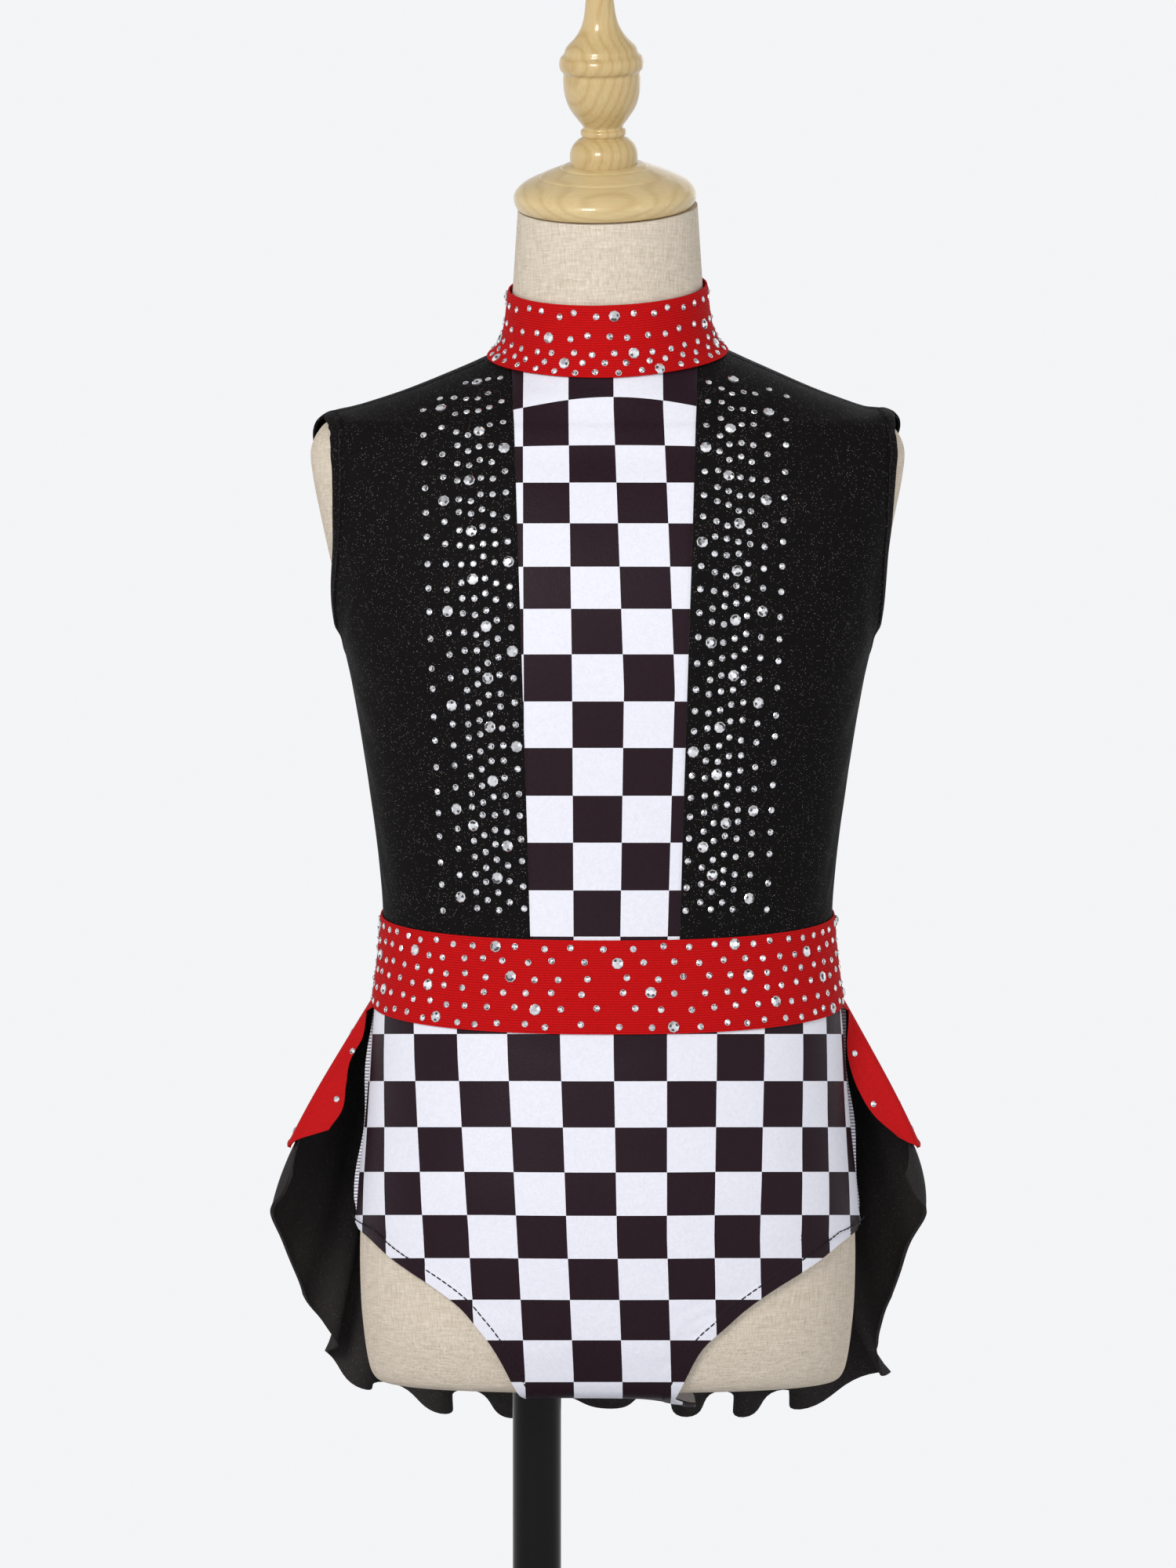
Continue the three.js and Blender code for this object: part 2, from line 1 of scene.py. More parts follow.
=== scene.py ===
import math
import bpy
import numpy as np
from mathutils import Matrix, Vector


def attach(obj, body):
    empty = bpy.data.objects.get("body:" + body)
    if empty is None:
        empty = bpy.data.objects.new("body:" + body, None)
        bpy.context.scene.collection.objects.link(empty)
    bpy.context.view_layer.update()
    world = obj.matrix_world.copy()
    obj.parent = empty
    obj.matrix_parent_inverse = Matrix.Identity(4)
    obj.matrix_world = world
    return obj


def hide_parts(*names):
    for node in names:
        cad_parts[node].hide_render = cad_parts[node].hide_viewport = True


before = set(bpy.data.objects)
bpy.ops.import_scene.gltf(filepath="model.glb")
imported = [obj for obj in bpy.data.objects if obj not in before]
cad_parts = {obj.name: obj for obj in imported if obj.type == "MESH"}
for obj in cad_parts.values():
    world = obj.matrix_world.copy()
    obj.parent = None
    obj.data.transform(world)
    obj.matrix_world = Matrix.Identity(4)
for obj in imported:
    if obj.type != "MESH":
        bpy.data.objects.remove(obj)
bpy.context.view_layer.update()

# Camera: the photograph is taken level from 3 m, at the height of the waist, with a long lens.
camera = bpy.data.objects.new("camera", bpy.data.cameras.new("camera"))
AWAY, SEEN = 3.0, 0.82  # m, from the form's axis, and the height that the frame takes in there
camera.location = (0.02675, -0.005 - AWAY, 0.668)
camera.rotation_euler = (math.radians(90), 0, 0)
camera.data.sensor_width = 36
camera.data.lens = camera.data.sensor_width * AWAY / SEEN
bpy.context.scene.collection.objects.link(camera)
bpy.context.scene.camera = camera


# Dress form: a limbless torso of hard foam under a tight cover of slubby undyed linen, with a
# flat underside that a pole plugs into. The cover is glued down and has no seams that show.
TURN = 2 * math.pi
FORM_AXIS = np.array([37.0, -5.0, 356.0])  # mm, where the form's axis meets its underside
HEIGHT, HALF, FRONT, BACK, MIDDLE, SLOPE, ROLL, SQUARE = range(8)
FORM = np.array([
    # height, half width, front, back, middle, slope, roll, square; mm, from the underside up
    [0, 113, 62, 86, 0, 0, 0, 2.4], [1.6, 119.5, 68.5, 93, 0, 0, 0, 2.4],
    [5.5, 123, 73, 97.5, 0, 0, 0, 2.4], [13, 125.2, 77, 100.5, 0, 0, 0, 2.45],
    [27, 127.2, 82.5, 103.5, 0, 0, 0, 2.5], [46, 128.8, 86.5, 105, 0, 0, 0, 2.5],
    [75, 129.2, 90, 104.5, 0, 0.01, 0, 2.5], [104, 127.5, 91, 100, 0, 0.04, 0, 2.5],
    [132, 124.6, 90, 93, 0, 0.09, 0, 2.45], [162, 122, 88.5, 84, 0, 0.13, 0, 2.4],
    [198, 119.2, 86, 75.5, 0, 0.155, 0, 2.35], [222, 116.4, 84.5, 70.5, 0, 0.155, 0, 2.3],
    [245, 114.8, 83.2, 67.5, 0, 0.15, 0, 2.3], [270, 116.6, 84, 69, 0, 0.1, 0, 2.35],
    [300, 120.5, 86.5, 73, 0, 0.05, 0, 2.4], [334, 125.6, 89.5, 79, 0, 0.02, 0, 2.45],
    [364, 130.8, 91.5, 83, 0, 0, 0, 2.5], [386, 135.5, 92, 85, 0, 0, 0, 2.5],
    [408, 140, 91, 85.5, 0, 0.02, 0, 2.5], [430, 144.8, 87.5, 85, 0, 0.05, 0, 2.55],
    [452, 149.6, 82, 83, 0, 0.08, 0, 2.6], [472, 153.6, 75.5, 79.5, 0, 0.11, 0, 2.6],
    [487, 155, 69.5, 75.5, 0.5, 0.14, 0, 2.6], [497, 151, 66.5, 72.5, 1, 0.155, 0, 2.55],
    [503, 143.5, 64.5, 70, 1.5, 0.165, 0, 2.5], [507.5, 129, 62.5, 68, 2, 0.18, 0.003, 2.4],
    [514.5, 108.5, 61, 66, 3, 0.2, 0.008, 2.3], [523.5, 86, 59.5, 63.5, 4, 0.235, 0.016, 2.15],
    [530, 70.5, 58, 61, 5, 0.26, 0.022, 2.05], [535.5, 59.5, 55.5, 57.5, 4.5, 0.27, 0.026, 2],
    [542, 54, 53, 54.5, 3, 0.275, 0.03, 2], [552, 51.2, 51, 52, 1, 0.28, 0.032, 2],
    [572, 49.6, 48.8, 49, -3, 0.285, 0.033, 2], [592, 48.2, 47, 47, -8, 0.295, 0.03, 2],
    [612.5, 46.8, 45.2, 45.2, -13, math.tan(math.radians(17)), math.tan(math.radians(1.6)), 2]])
CROTCH_SEAM = 24.0  # mm in front of the axis, where the brief's front and back join


def cubic(p0, p1, p2, p3, t):
    """Catmull and Rom's curve from p1 to p2 as t goes from 0 to 1: it passes the points with
    slopes of half the step from the point before to the point after."""
    return p1 + 0.5 * t * (p2 - p0 + t * (2 * p0 - 5 * p1 + 4 * p2 - p3 + t * (3 * (p1 - p2) + p3 - p0)))


def section(row):
    """The form's section at a row number of the table: the curve through the four nearest
    rows. Below row 0 the front and back move in along the flat underside."""
    row = np.asarray(row, float)
    at = np.clip(row, 0, len(FORM) - 1)
    i = np.minimum(at.astype(int), len(FORM) - 2)
    s = cubic(*(FORM[np.clip(i + k, 0, len(FORM) - 1)] for k in (-1, 0, 1, 2)), (at - i)[..., None])
    under = np.clip(-row, 0, 1)
    s[..., FRONT] += under * (CROTCH_SEAM - s[..., FRONT])
    s[..., BACK] += under * (-CROTCH_SEAM - s[..., BACK])
    return s


def form_surface(angle, row):
    """A rounded oblong: x is the half width times cos to a power, y the depth times sin to it,
    and the height rises with the section's slope. The angle runs from the right over the back."""
    s = section(row)
    c, q, power = np.cos(angle), np.sin(angle), 2 / s[..., SQUARE]
    x = s[..., HALF] * np.sign(c) * np.abs(c) ** power
    y = np.where(q < 0, s[..., FRONT], s[..., BACK]) * np.sign(q) * np.abs(q) ** power
    return np.stack([x, s[..., MIDDLE] + y, s[..., HEIGHT] + s[..., SLOPE] * y + s[..., ROLL] * x], -1)


def normal_of(surface, a, b, step=0.01):
    """The outward normal: a short step along a, crossed with a short step along b."""
    n = np.cross(surface(a + step, b) - surface(a - step, b),
                 surface(a, b + step) - surface(a, b - step))
    return n / np.maximum(np.linalg.norm(n, axis=-1, keepdims=True), 1e-9)


def on_form(angle, row, out):
    """The form's point, moved out along its normal."""
    angle, row = np.broadcast_arrays(np.asarray(angle, float), np.asarray(row, float))
    normal = normal_of(form_surface, angle, row)
    return form_surface(angle, row) + normal * np.asarray(out, float)[..., None]


def row_at(height):
    """The row number of a height at the form's sides."""
    rows = np.linspace(0, len(FORM) - 1, 6801)
    return np.interp(height, section(rows)[..., HEIGHT], rows)


def smoothstep(x, low, high):
    """0 below low, 1 above high, and 3t^2 - 2t^3 between."""
    t = np.clip((np.asarray(x, float) - low) / (high - low), 0, 1)
    return t * t * (3 - 2 * t)


def build(name, points, faces, uv=None, sharp=40, at=FORM_AXIS):
    """A smooth piece from points in mm about the given axis point, with edges over an angle
    left sharp. uv holds one pair for each point."""
    mesh = bpy.data.meshes.new(name)
    mesh.from_pydata(((np.asarray(points) + at) / 1000).tolist(), [], faces)
    if uv is not None:
        corner = np.empty(len(mesh.loops), int)
        mesh.loops.foreach_get("vertex_index", corner)
        layer = mesh.uv_layers.new(name="cloth")
        layer.data.foreach_set("uv", np.asarray(uv, np.float32)[corner].ravel())
    mesh.polygons.foreach_set("use_smooth", np.ones(len(mesh.polygons), bool))
    mesh.set_sharp_from_angle(angle=math.radians(sharp))
    piece = bpy.data.objects.new(name, mesh)
    bpy.context.scene.collection.objects.link(piece)
    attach(piece, "root")
    return piece


def dress(piece, finish, node=None):
    """Gives a piece its finish in a new material slot, and hides the solid that it stands in for."""
    piece.data.materials.append(finish.material)
    if node:
        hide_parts(node)


def loft(first, rings, last):
    """Points and faces of a closed skin: a fan round the first point, quads from ring to ring,
    and a fan to the last point. Rings run anticlockwise seen from above, and the skin goes up."""
    m, n = rings.shape[:2]
    points = np.concatenate([[first], rings.reshape(-1, 3), [last]])
    j, i = np.meshgrid(np.arange(m - 1), np.arange(n), indexing="ij")
    a, b = 1 + j * n + i, 1 + j * n + (i + 1) % n
    quads = np.stack([a, b, b + n, a + n], -1).reshape(-1, 4).tolist()
    k = np.arange(n)
    low = np.stack([0 * k, 1 + (k + 1) % n, 1 + k], -1).tolist()
    top = 1 + (m - 1) * n
    high = np.stack([top + k, top + (k + 1) % n, 0 * k + 1 + m * n], -1).tolist()
    return points, low + quads + high


class Wire:
    """A shader socket in Python sums: each operator adds a Math node and gives its output, and
    math() with no values works on the socket itself."""

    def __init__(self, finish, socket):
        self.finish, self.socket = finish, socket

    def math(self, operation, *values):
        values = dict(enumerate(values or (self,)))
        return self.finish.node("ShaderNodeMath", {"operation": operation}, values)

    def __add__(self, other): return self.math("ADD", self, other)
    def __radd__(self, other): return self.math("ADD", other, self)
    def __sub__(self, other): return self.math("SUBTRACT", self, other)
    def __rsub__(self, other): return self.math("SUBTRACT", other, self)
    def __mul__(self, other): return self.math("MULTIPLY", self, other)
    def __rmul__(self, other): return self.math("MULTIPLY", other, self)
    def __truediv__(self, other): return self.math("DIVIDE", self, other)
    def __pow__(self, other): return self.math("POWER", self, other)
    def __gt__(self, other): return self.math("GREATER_THAN", self, other)
    def __lt__(self, other): return self.math("LESS_THAN", self, other)


class Finish:
    """A material: its shader's plain numbers are set by name, and node() adds every other node."""

    def __init__(self, name, room=None, **plain):
        self.material = room or bpy.data.materials.new(name)
        self.material.use_nodes = True
        self.tree = self.material.node_tree
        self.shader = self.tree.nodes["Background" if room else "Principled BSDF"]
        for key, value in plain.items():
            self.shader.inputs[key.replace("_", " ")].default_value = value

    def feed(self, socket, value):
        if isinstance(value, Wire):
            self.tree.links.new(value.socket, socket)
        else:
            socket.default_value = value

    def node(self, kind, settings=None, inputs=None, output=0):
        """Adds a node, sets its settings, feeds its sockets and gives one output."""
        made = self.tree.nodes.new(kind)
        for key, value in (settings or {}).items():
            setattr(made, key, value)
        for key, value in (inputs or {}).items():
            self.feed(made.inputs[key], value)
        return Wire(self, made.outputs[output])

    def mix(self, factor, a, b):
        return self.node("ShaderNodeMix", {"data_type": "RGBA"}, {0: factor, 6: a, 7: b}, 2)

    def place(self, uv="", scale=(1, 1, 1)):
        """The piece's own UV or Object coordinates, scaled."""
        source = (self.node("ShaderNodeUVMap", {"uv_map": uv}) if uv
                  else self.node("ShaderNodeTexCoord", output="Object"))
        return self.node("ShaderNodeVectorMath", {"operation": "MULTIPLY"}, {0: source, 1: scale})

    def axis(self, vector, name):
        return self.node("ShaderNodeSeparateXYZ", {}, {0: vector}, name)

    def noise(self, place, scale, detail=2.0):
        return self.node("ShaderNodeTexNoise", {}, {"Vector": place, "Scale": scale, "Detail": detail})

    def wear(self, **sockets):
        """Feeds the shader's sockets by name."""
        for key, value in sockets.items():
            self.feed(self.shader.inputs[key.replace("_", " ")], value)
        return self

    def bump(self, height, distance, strength=1.0):
        return self.wear(Normal=self.node("ShaderNodeBump", {}, {
            "Strength": strength, "Distance": distance, "Height": height}))


def colour(red, green, blue):
    """A screen colour of 0 to 255 as the light values that a shader takes."""
    c = np.array([red, green, blue]) / 255
    return (*np.where(c <= 0.04045, c / 12.92, ((c + 0.055) / 1.055) ** 2.4).tolist(), 1.0)


HOLE_RADIUS, HOLE_DEPTH = 13, 58.3  # mm


def form_skin():
    """The whole closed skin: the pole's hole, the underside round it, and the sections up to
    the neck's flat top."""
    turn = np.linspace(0, TURN, 144, endpoint=False)
    rim = form_surface(turn, np.zeros(144))
    floor_of_hole = np.array([-FORM_AXIS[0], -FORM_AXIS[1], HOLE_DEPTH])
    round_hole = np.stack([np.cos(turn), np.sin(turn), 0 * turn], -1) * HOLE_RADIUS + floor_of_hole
    hole = round_hole - [0, 0, HOLE_DEPTH]
    under = hole + (rim - hole) * np.linspace(0, 1, 8)[:, None, None]
    sides = form_surface(turn[None, :], np.linspace(0.1, len(FORM) - 1, 240)[:, None])
    rings = np.concatenate([[round_hole], under, sides])
    return loft(floor_of_hole, rings, rings[-1].mean(0))


linen = Finish("linen", Roughness=0.9, Specular_IOR_Level=0.05)
threads = linen.noise(linen.place(scale=(1, 1, 0.05)), 1500, 2)
picks = linen.noise(linen.place(scale=(0.09, 0.09, 1)), 1500, 2)
slubs = linen.noise(linen.place(scale=(0.2, 0.2, 1)), 420, 2)
stains = linen.noise(linen.place(), 22, 3)
knots = linen.noise(linen.place(scale=(1, 1, 0.035)), 520, 1)
weave = 1.2 * (threads + 0.8 * picks + 0.1 * slubs + 0.2 * stains - 1.05) + 0.5 - 0.3 * (knots > 0.73)
linen.wear(Base_Color=linen.mix(weave, colour(181, 168, 148), colour(226, 215, 199)))
linen.bump(threads + picks + 0.4 * slubs, 0.0005, 0.6)
dress(build("linen_form", *form_skin()), linen, "form_body")


# Neck cap and finial: turned from pale softwood and varnished to a high gloss. The disc is
# screwed on the slanting neck, and the ball, its collars and the spire are one turning on it.
# Both profiles are radius and height in mm, from the neck's top along the cap's own axis.
CAP_PROFILE = [
    (44, 0.3), (45.8, 0.8), (47, 2.8), (47.6, 5.5), (47.4, 7.6), (46, 10), (43, 12.6), (38.6, 14.9),
    (34.6, 16.5), (33.8, 16.7), (33, 17.4), (29, 19), (24.6, 20.6), (22.8, 21), (22, 21.8), (20, 22.6)]
FINIAL_PROFILE = [
    (17.4, 21.6), (17.5, 23.4), (17.7, 26), (17.7, 28.2), (17, 31), (15.4, 33.6), (13, 35.8), (10.9, 36.9),
    (11.2, 37.6), (11.8, 38.7), (11.7, 40.5), (10.4, 41.7), (10.7, 43.2), (13.6, 47), (17.5, 53), (19.6, 60),
    (20.1, 67), (19.9, 70.6), (21.4, 72.6), (21.9, 75.6), (21.2, 78.6), (19.4, 80.6), (18, 84), (13.6, 88.6),
    (10.4, 93.6), (8.6, 99), (7.6, 105.6), (7.4, 110.6), (9.2, 113.6), (9.6, 117.6), (7.8, 123.6),
    (3.6, 130), (0.6, 132.4)]


def stepped(line, segments):
    """A turned body straight from point to point of its profile, with its ends flat."""
    turn = np.linspace(0, TURN, segments, endpoint=False)
    rings = np.stack([line[:, :1] * np.cos(turn), line[:, :1] * np.sin(turn), line[:, 1:] + 0 * turn], -1)
    return loft([0, 0, line[0, 1]], rings, [0, 0, line[-1, 1]])


def turned(profile, segments, per):
    """A turned body: a smooth curve through the profile's radius and height, with per points to
    each step, carried round the axis."""
    rough = np.array([profile[0], *profile, profile[-1]], float)[:, None]
    t = np.linspace(0, 1, per, endpoint=False)[:, None]
    curve = cubic(rough[:-3], rough[1:-2], rough[2:-1], rough[3:], t)
    return stepped(np.concatenate([curve.reshape(-1, 2), [profile[-1]]]), segments)


def on_neck(points):
    """Turns points in the cap's own frame by 17 degrees forward and 1.6 aside, and moves them
    to the middle of the neck's top."""
    roll, pitch = math.radians(-1.6), math.radians(17)
    x, y, z = points.T
    x, z = x * math.cos(roll) + z * math.sin(roll), -x * math.sin(roll) + z * math.cos(roll)
    y, z = y * math.cos(pitch) - z * math.sin(pitch), y * math.sin(pitch) + z * math.cos(pitch)
    return np.stack([x - 1.2, y + FORM[-1, MIDDLE], z + FORM[-1, HEIGHT]], -1)


RING_WIDTH = 0.0042  # m, from one growth ring to the next


def varnished(name, fibres, heart, brown):
    """Pale varnished wood with growth rings round a heart line. The line passes the point heart
    and runs the way that has the small scale in fibres, and brown darkens the whole."""
    wood = Finish(name, Roughness=0.32, Specular_IOR_Level=0.3, Coat_Weight=0.45, Coat_Roughness=0.07)
    wander = wood.noise(wood.place(scale=fibres), 30, 2)
    from_heart = wood.node("ShaderNodeVectorMath", {"operation": "DISTANCE"}, {
        0: wood.place(scale=fibres), 1: tuple(f * h for f, h in zip(fibres, heart))}, "Value")
    rings = ((from_heart + 0.01 * wander) * (TURN / RING_WIDTH)).math("SINE")
    pores = wood.noise(wood.place(scale=tuple(0.3 * f * f + 0.7 * f for f in fibres)), 900, 2)
    tint = wood.noise(wood.place(), 35, 2)
    grain = 0.3 * (0.5 + 0.5 * rings) ** 3 + 0.6 * pores + 0.4 * tint + brown
    return wood.wear(Base_Color=wood.mix(grain, colour(209, 187, 139), colour(177, 149, 95)))


for name, profile, node, fibres, heart, brown in (
        ("cap_disc", CAP_PROFILE, "neck_cap", (0.12, 1, 1), (0.03, 0.02, 0.9), -0.28),
        ("cap_finial", FINIAL_PROFILE, "finial", (1, 1, 0.05), (0.13, 0.04, 1), 0.04)):
    points, faces = turned(profile, 72, 5)
    piece = build(name, on_neck(points), faces, sharp=50)
    dress(piece, varnished("wood_of_" + name, fibres, heart, brown), node)


# Pole and base: a steel tube and a spun steel plate with a boss, both in gloss black enamel.
# The pole stands in the boss and plugs into the form's hole.
# Both profiles are radius and height in mm.
POLE = [(12.2, 5.3), (12.7, 5.8), (12.7, 413.5), (12.2, 414)]
BASE = [
    (152.4, 0), (155, 0.6), (155, 6.5), (154, 8.4), (148, 9.4), (100, 11.2), (46, 14), (34, 16), (29, 18),
    (25.4, 21), (24, 25), (23, 31), (22, 34), (20.6, 35.6), (18.6, 36), (14, 36), (13, 35), (13, 6), (13, 5)]

enamel = Finish("black_enamel", Specular_IOR_Level=0.16)
dust = enamel.noise(enamel.place(), 140, 4)
enamel.wear(Base_Color=enamel.mix(dust, colour(5, 4, 4), colour(13, 11, 10)), Roughness=0.14 + 0.12 * dust)
for name, profile, node in (("stand_pole", POLE, "pole"), ("stand_base", BASE, "base")):
    piece = build(name, *stepped(np.array(profile, float), 96), sharp=35, at=np.zeros(3))
    dress(piece, enamel, node)


# Checked centre panel: printed white spandex from the collar to the belt, joined to the black
# panels by seams that turn in. The printed squares are 25 mm and run on under the belt.
CLEAR, WALL = 1.6, 1.0  # mm, between the form and the cloth, and the cloth's thickness
WAIST_HEIGHT, NECK_HEIGHT = 222, 535.5  # mm, where the bodice's panels start and end
WAIST, NECKLINE = row_at(WAIST_HEIGHT), row_at(NECK_HEIGHT)
PANEL_MIDDLE = -1.6  # mm: the panel's middle lies this far to the left
CHECK_LINES = [  # height, and where the print's upright lines lie left and right of the middle, mm
    (222, -42.6, -17.5, 6.0, 29.9, 54.5), (360, -42.8, -18.3, 8.0, 33.8, 58.6),
    (505, -43.6, -20.3, 2.8, 28.3, 53.4), (535, -43.6, -20.3, 2.8, 28.3, 53.4)]
CHECK_LEVELS = [  # heights of the print's level lines, mm
    214, 234.4, 257.9, 282.2, 306, 330.3, 353.8, 377.7, 400.8, 422.2, 444.5, 465.6, 485.1, 510.5, 537]


def angle_at_x(s, x, facing):
    """The outline's angle where its front or back lies this far to the side."""
    return facing * np.arccos(np.sign(x) * np.minimum(np.abs(x) / s[..., HALF], 1) ** (s[..., SQUARE] / 2))


def angle_at_depth(s, depth, facing):
    """The outline's angle, from the side, at this depth in front of or behind its middle."""
    reach = s[..., FRONT] if facing < 0 else s[..., BACK]
    return facing * np.arcsin(np.minimum(np.abs(depth) / np.abs(reach), 1) ** (s[..., SQUARE] / 2))


def centre_edge(row, side, gap=0.15):
    """The panel's edge: its half width runs straight from 37 mm at the waist to 47.5 at the
    neckline, 1.6 mm left of the middle."""
    s = section(row)
    half = 37 + 10.5 * (s[..., HEIGHT] - WAIST_HEIGHT) / (NECK_HEIGHT - WAIST_HEIGHT)
    return angle_at_x(s, PANEL_MIDDLE + side * (half - gap), -1)


def run_along(points):
    """How far each point of a grid lies along its row, from the row's first point."""
    steps = np.linalg.norm(np.diff(points, axis=1), axis=-1)
    return np.concatenate([np.zeros((len(points), 1)), np.cumsum(steps, 1)], 1)


def wall(outer, inner, ring=False):
    """Points and faces of a closed wall of cloth between two grids, columns anticlockwise and
    rows upwards, with its four edges closed, or two where it goes all round."""
    rows, across = outer.shape[0] - 1, outer.shape[1]
    columns = across if ring else across - 1
    points = np.concatenate([outer.reshape(-1, 3), inner.reshape(-1, 3)])
    j, i = np.meshgrid(np.arange(rows), np.arange(columns), indexing="ij")
    a, b, under = j * across + i, j * across + (i + 1) % across, outer.shape[0] * across
    quads = [np.stack([a, b, b + across, a + across], -1),
             np.stack([a, a + across, b + across, b], -1) + under]
    i = np.arange(columns)
    k, up = (i + 1) % across, rows * across
    quads.append(np.stack([under + i, under + k, k, i], -1))
    quads.append(np.stack([up + i, up + k, up + under + k, up + under + i], -1))
    if not ring:
        j = np.arange(rows) * across
        quads.append(np.stack([under + j, j, j + across, under + j + across], -1))
        j = j + columns
        quads.append(np.stack([j, under + j, under + j + across, j + across], -1))
    return points, np.concatenate([q.reshape(-1, 4) for q in quads]).tolist()


def turned_in(from_edge, depth=0.55, reach=1.6):
    """How far a seam's edge sinks: depth at the edge, easing to 0 at reach, both in mm."""
    return -depth * (1 - smoothstep(from_edge, 0, reach))


def cloth_area(outer):
    """The area of a grid in square metres, from the cross product of each quad's diagonals."""
    d = np.cross(outer[1:, 1:] - outer[:-1, :-1], outer[1:, :-1] - outer[:-1, 1:])
    return float(np.linalg.norm(d, axis=-1).sum() / 2e6)


def cut(outer):
    area = cloth_area(outer)
    length = float(run_along(outer.transpose(1, 0, 2))[:, -1].max() / 1000)


checks = Finish("checked_spandex", Roughness=0.42, Specular_IOR_Level=0.1)
squares = checks.node("ShaderNodeUVMap", {"uv_map": "cloth"})
odd = (checks.axis(squares, "X").math("FLOOR") + checks.axis(squares, "Y").math("FLOOR")) / 2
odd = odd.math("FRACT") < 0.25
knit = checks.noise(checks.place(scale=(1, 1, 0.6)), 1700, 2)
mottle = checks.noise(checks.place(), 420, 3)
checks.wear(Base_Color=checks.mix(
    odd, checks.mix(knit * 0.6 + mottle * 0.4, colour(204, 205, 217), colour(237, 238, 244)),
    checks.mix(knit * 0.7 + mottle * 0.3, colour(22, 10, 16), colour(44, 27, 36))),
    Roughness=0.36 + 0.2 * mottle)
checks.bump(knit + 0.5 * mottle, 0.0004, 0.4)

rows = np.linspace(WAIST, NECKLINE, 150)[:, None]
low, high = centre_edge(rows, -1), centre_edge(rows, 1)
turn = low + (high - low) * np.linspace(0, 1, 61)
mid = on_form(turn, rows, CLEAR)
along = run_along(mid)
edge = np.minimum(along, along[:, -1:] - along)
outer = on_form(turn, rows, CLEAR + WALL + turned_in(edge))
x, h = outer[..., 0], outer[..., 2]
lines = np.array(CHECK_LINES)
at_height = np.stack([np.interp(h, lines[:, 0], lines[:, k]) for k in range(1, 6)], -1)
squares = [k + (x - at_height[..., k]) / (at_height[..., k] - at_height[..., k - 1]) for k in range(1, 4)]
u = np.select([x < at_height[..., k] for k in range(1, 4)], squares,
              3 + (x - at_height[..., 3]) / (at_height[..., 4] - at_height[..., 3]))
v = np.interp(h + 0.0028 * (x - 3) ** 2 * smoothstep(h, 478, 512), CHECK_LEVELS, np.arange(15))
points, faces = wall(outer, mid)
uv = np.concatenate([np.stack([u, v], -1).reshape(-1, 2)] * 2)
centre_panel = build("checked_centre", points, faces, uv)
dress(centre_panel, checks, "front_centre")
cut(outer)


# Black side and back panels: spandex with fine glitter, pulled smooth over the form. Each
# armhole has a 7 mm hem, turned in and stitched, and the other edges turn in at seams.
ARMHOLE = np.array([  # height, then how far the opening reaches in front, right and left, and behind
    (386, 0, 0, 0, 0), (388, 3.8, 3.8, 5, 5), (390, 7, 7, 9, 9), (397, 12.5, 12.5, 17, 17),
    (408, 19, 20, 26, 26), (430, 27, 34, 37, 37), (443, 29.5, 39, 40.5, 40), (457, 32.5, 41.5, 42, 41),
    (471, 33.4, 41.8, 40, 36), (484, 31.5, 39.5, 33, 27), (494, 26, 34, 22, 15), (498.5, 20, 28, 15, 8),
    (501, 11, 17, 8, 4), (502, 0, 0, 0, 0)])


def eased(keys, values, at):
    """A smooth curve through a table: cubic steps whose slopes are the table's own gradient."""
    slope = np.gradient(values, keys)
    at = np.clip(at, keys[0], keys[-1])
    i = np.clip(np.searchsorted(keys, at) - 1, 0, len(keys) - 2)
    gap = keys[i + 1] - keys[i]
    t = (at - keys[i]) / gap
    return (values[i] * (1 + 2 * t) * (1 - t) ** 2 + values[i + 1] * t * t * (3 - 2 * t)
            + gap * (slope[i] * t * (1 - t) ** 2 - slope[i + 1] * t * t * (1 - t)))


def armhole(row, side, facing):
    """How deep the armhole is at a row, in front or behind, on the right or the left."""
    column = (1 if facing < 0 else 3) + (side < 0)
    return np.maximum(eased(ARMHOLE[:, 0], ARMHOLE[:, column], section(row)[..., HEIGHT]), 0.15)


# Soft pulls in the black cloth: from and to, each as mm from the side seam (towards the middle)
# and height, then how wide and how deep. They fan from the armhole's foot and hang at the waist.
PULLS = [
    (6, 372, 46, 330, 7, 0.9), (4, 356, 34, 300, 6, 0.7), (14, 384, 66, 352, 8, 0.8),
    (3, 330, 18, 262, 5, 0.8), (24, 300, 40, 250, 7, 0.6), (30, 400, 62, 388, 6, 0.6),
    (10, 262, 60, 252, 5, 0.6), (48, 470, 84, 498, 9, 0.5), (58, 440, 86, 470, 8, 0.4),
    (5, 300, 26, 246, 4, 0.6)]


def creases(across, height, table):
    """The sum of soft troughs: each is a bell across the line from its first to its last point,
    fading at both ends."""
    total = np.zeros(np.broadcast(across, height).shape)
    for x0, z0, x1, z1, width, depth in table:
        dx, dz = x1 - x0, z1 - z0
        length = math.hypot(dx, dz)
        t = ((across - x0) * dx + (height - z0) * dz) / length ** 2
        off = ((across - x0) * dz - (height - z0) * dx) / length
        bend = off - 0.08 * length * np.sin(math.pi * np.clip(t, 0, 1))
        fade = smoothstep(t, -0.1, 0.35) * (1 - smoothstep(t, 0.6, 1.1))
        total -= depth * np.exp(-(bend / width) ** 2) * fade
    return total


FLAKES_PER_METRE, FLAKE = 1800.0, 0.23  # and a flake's radius as a share of its cell


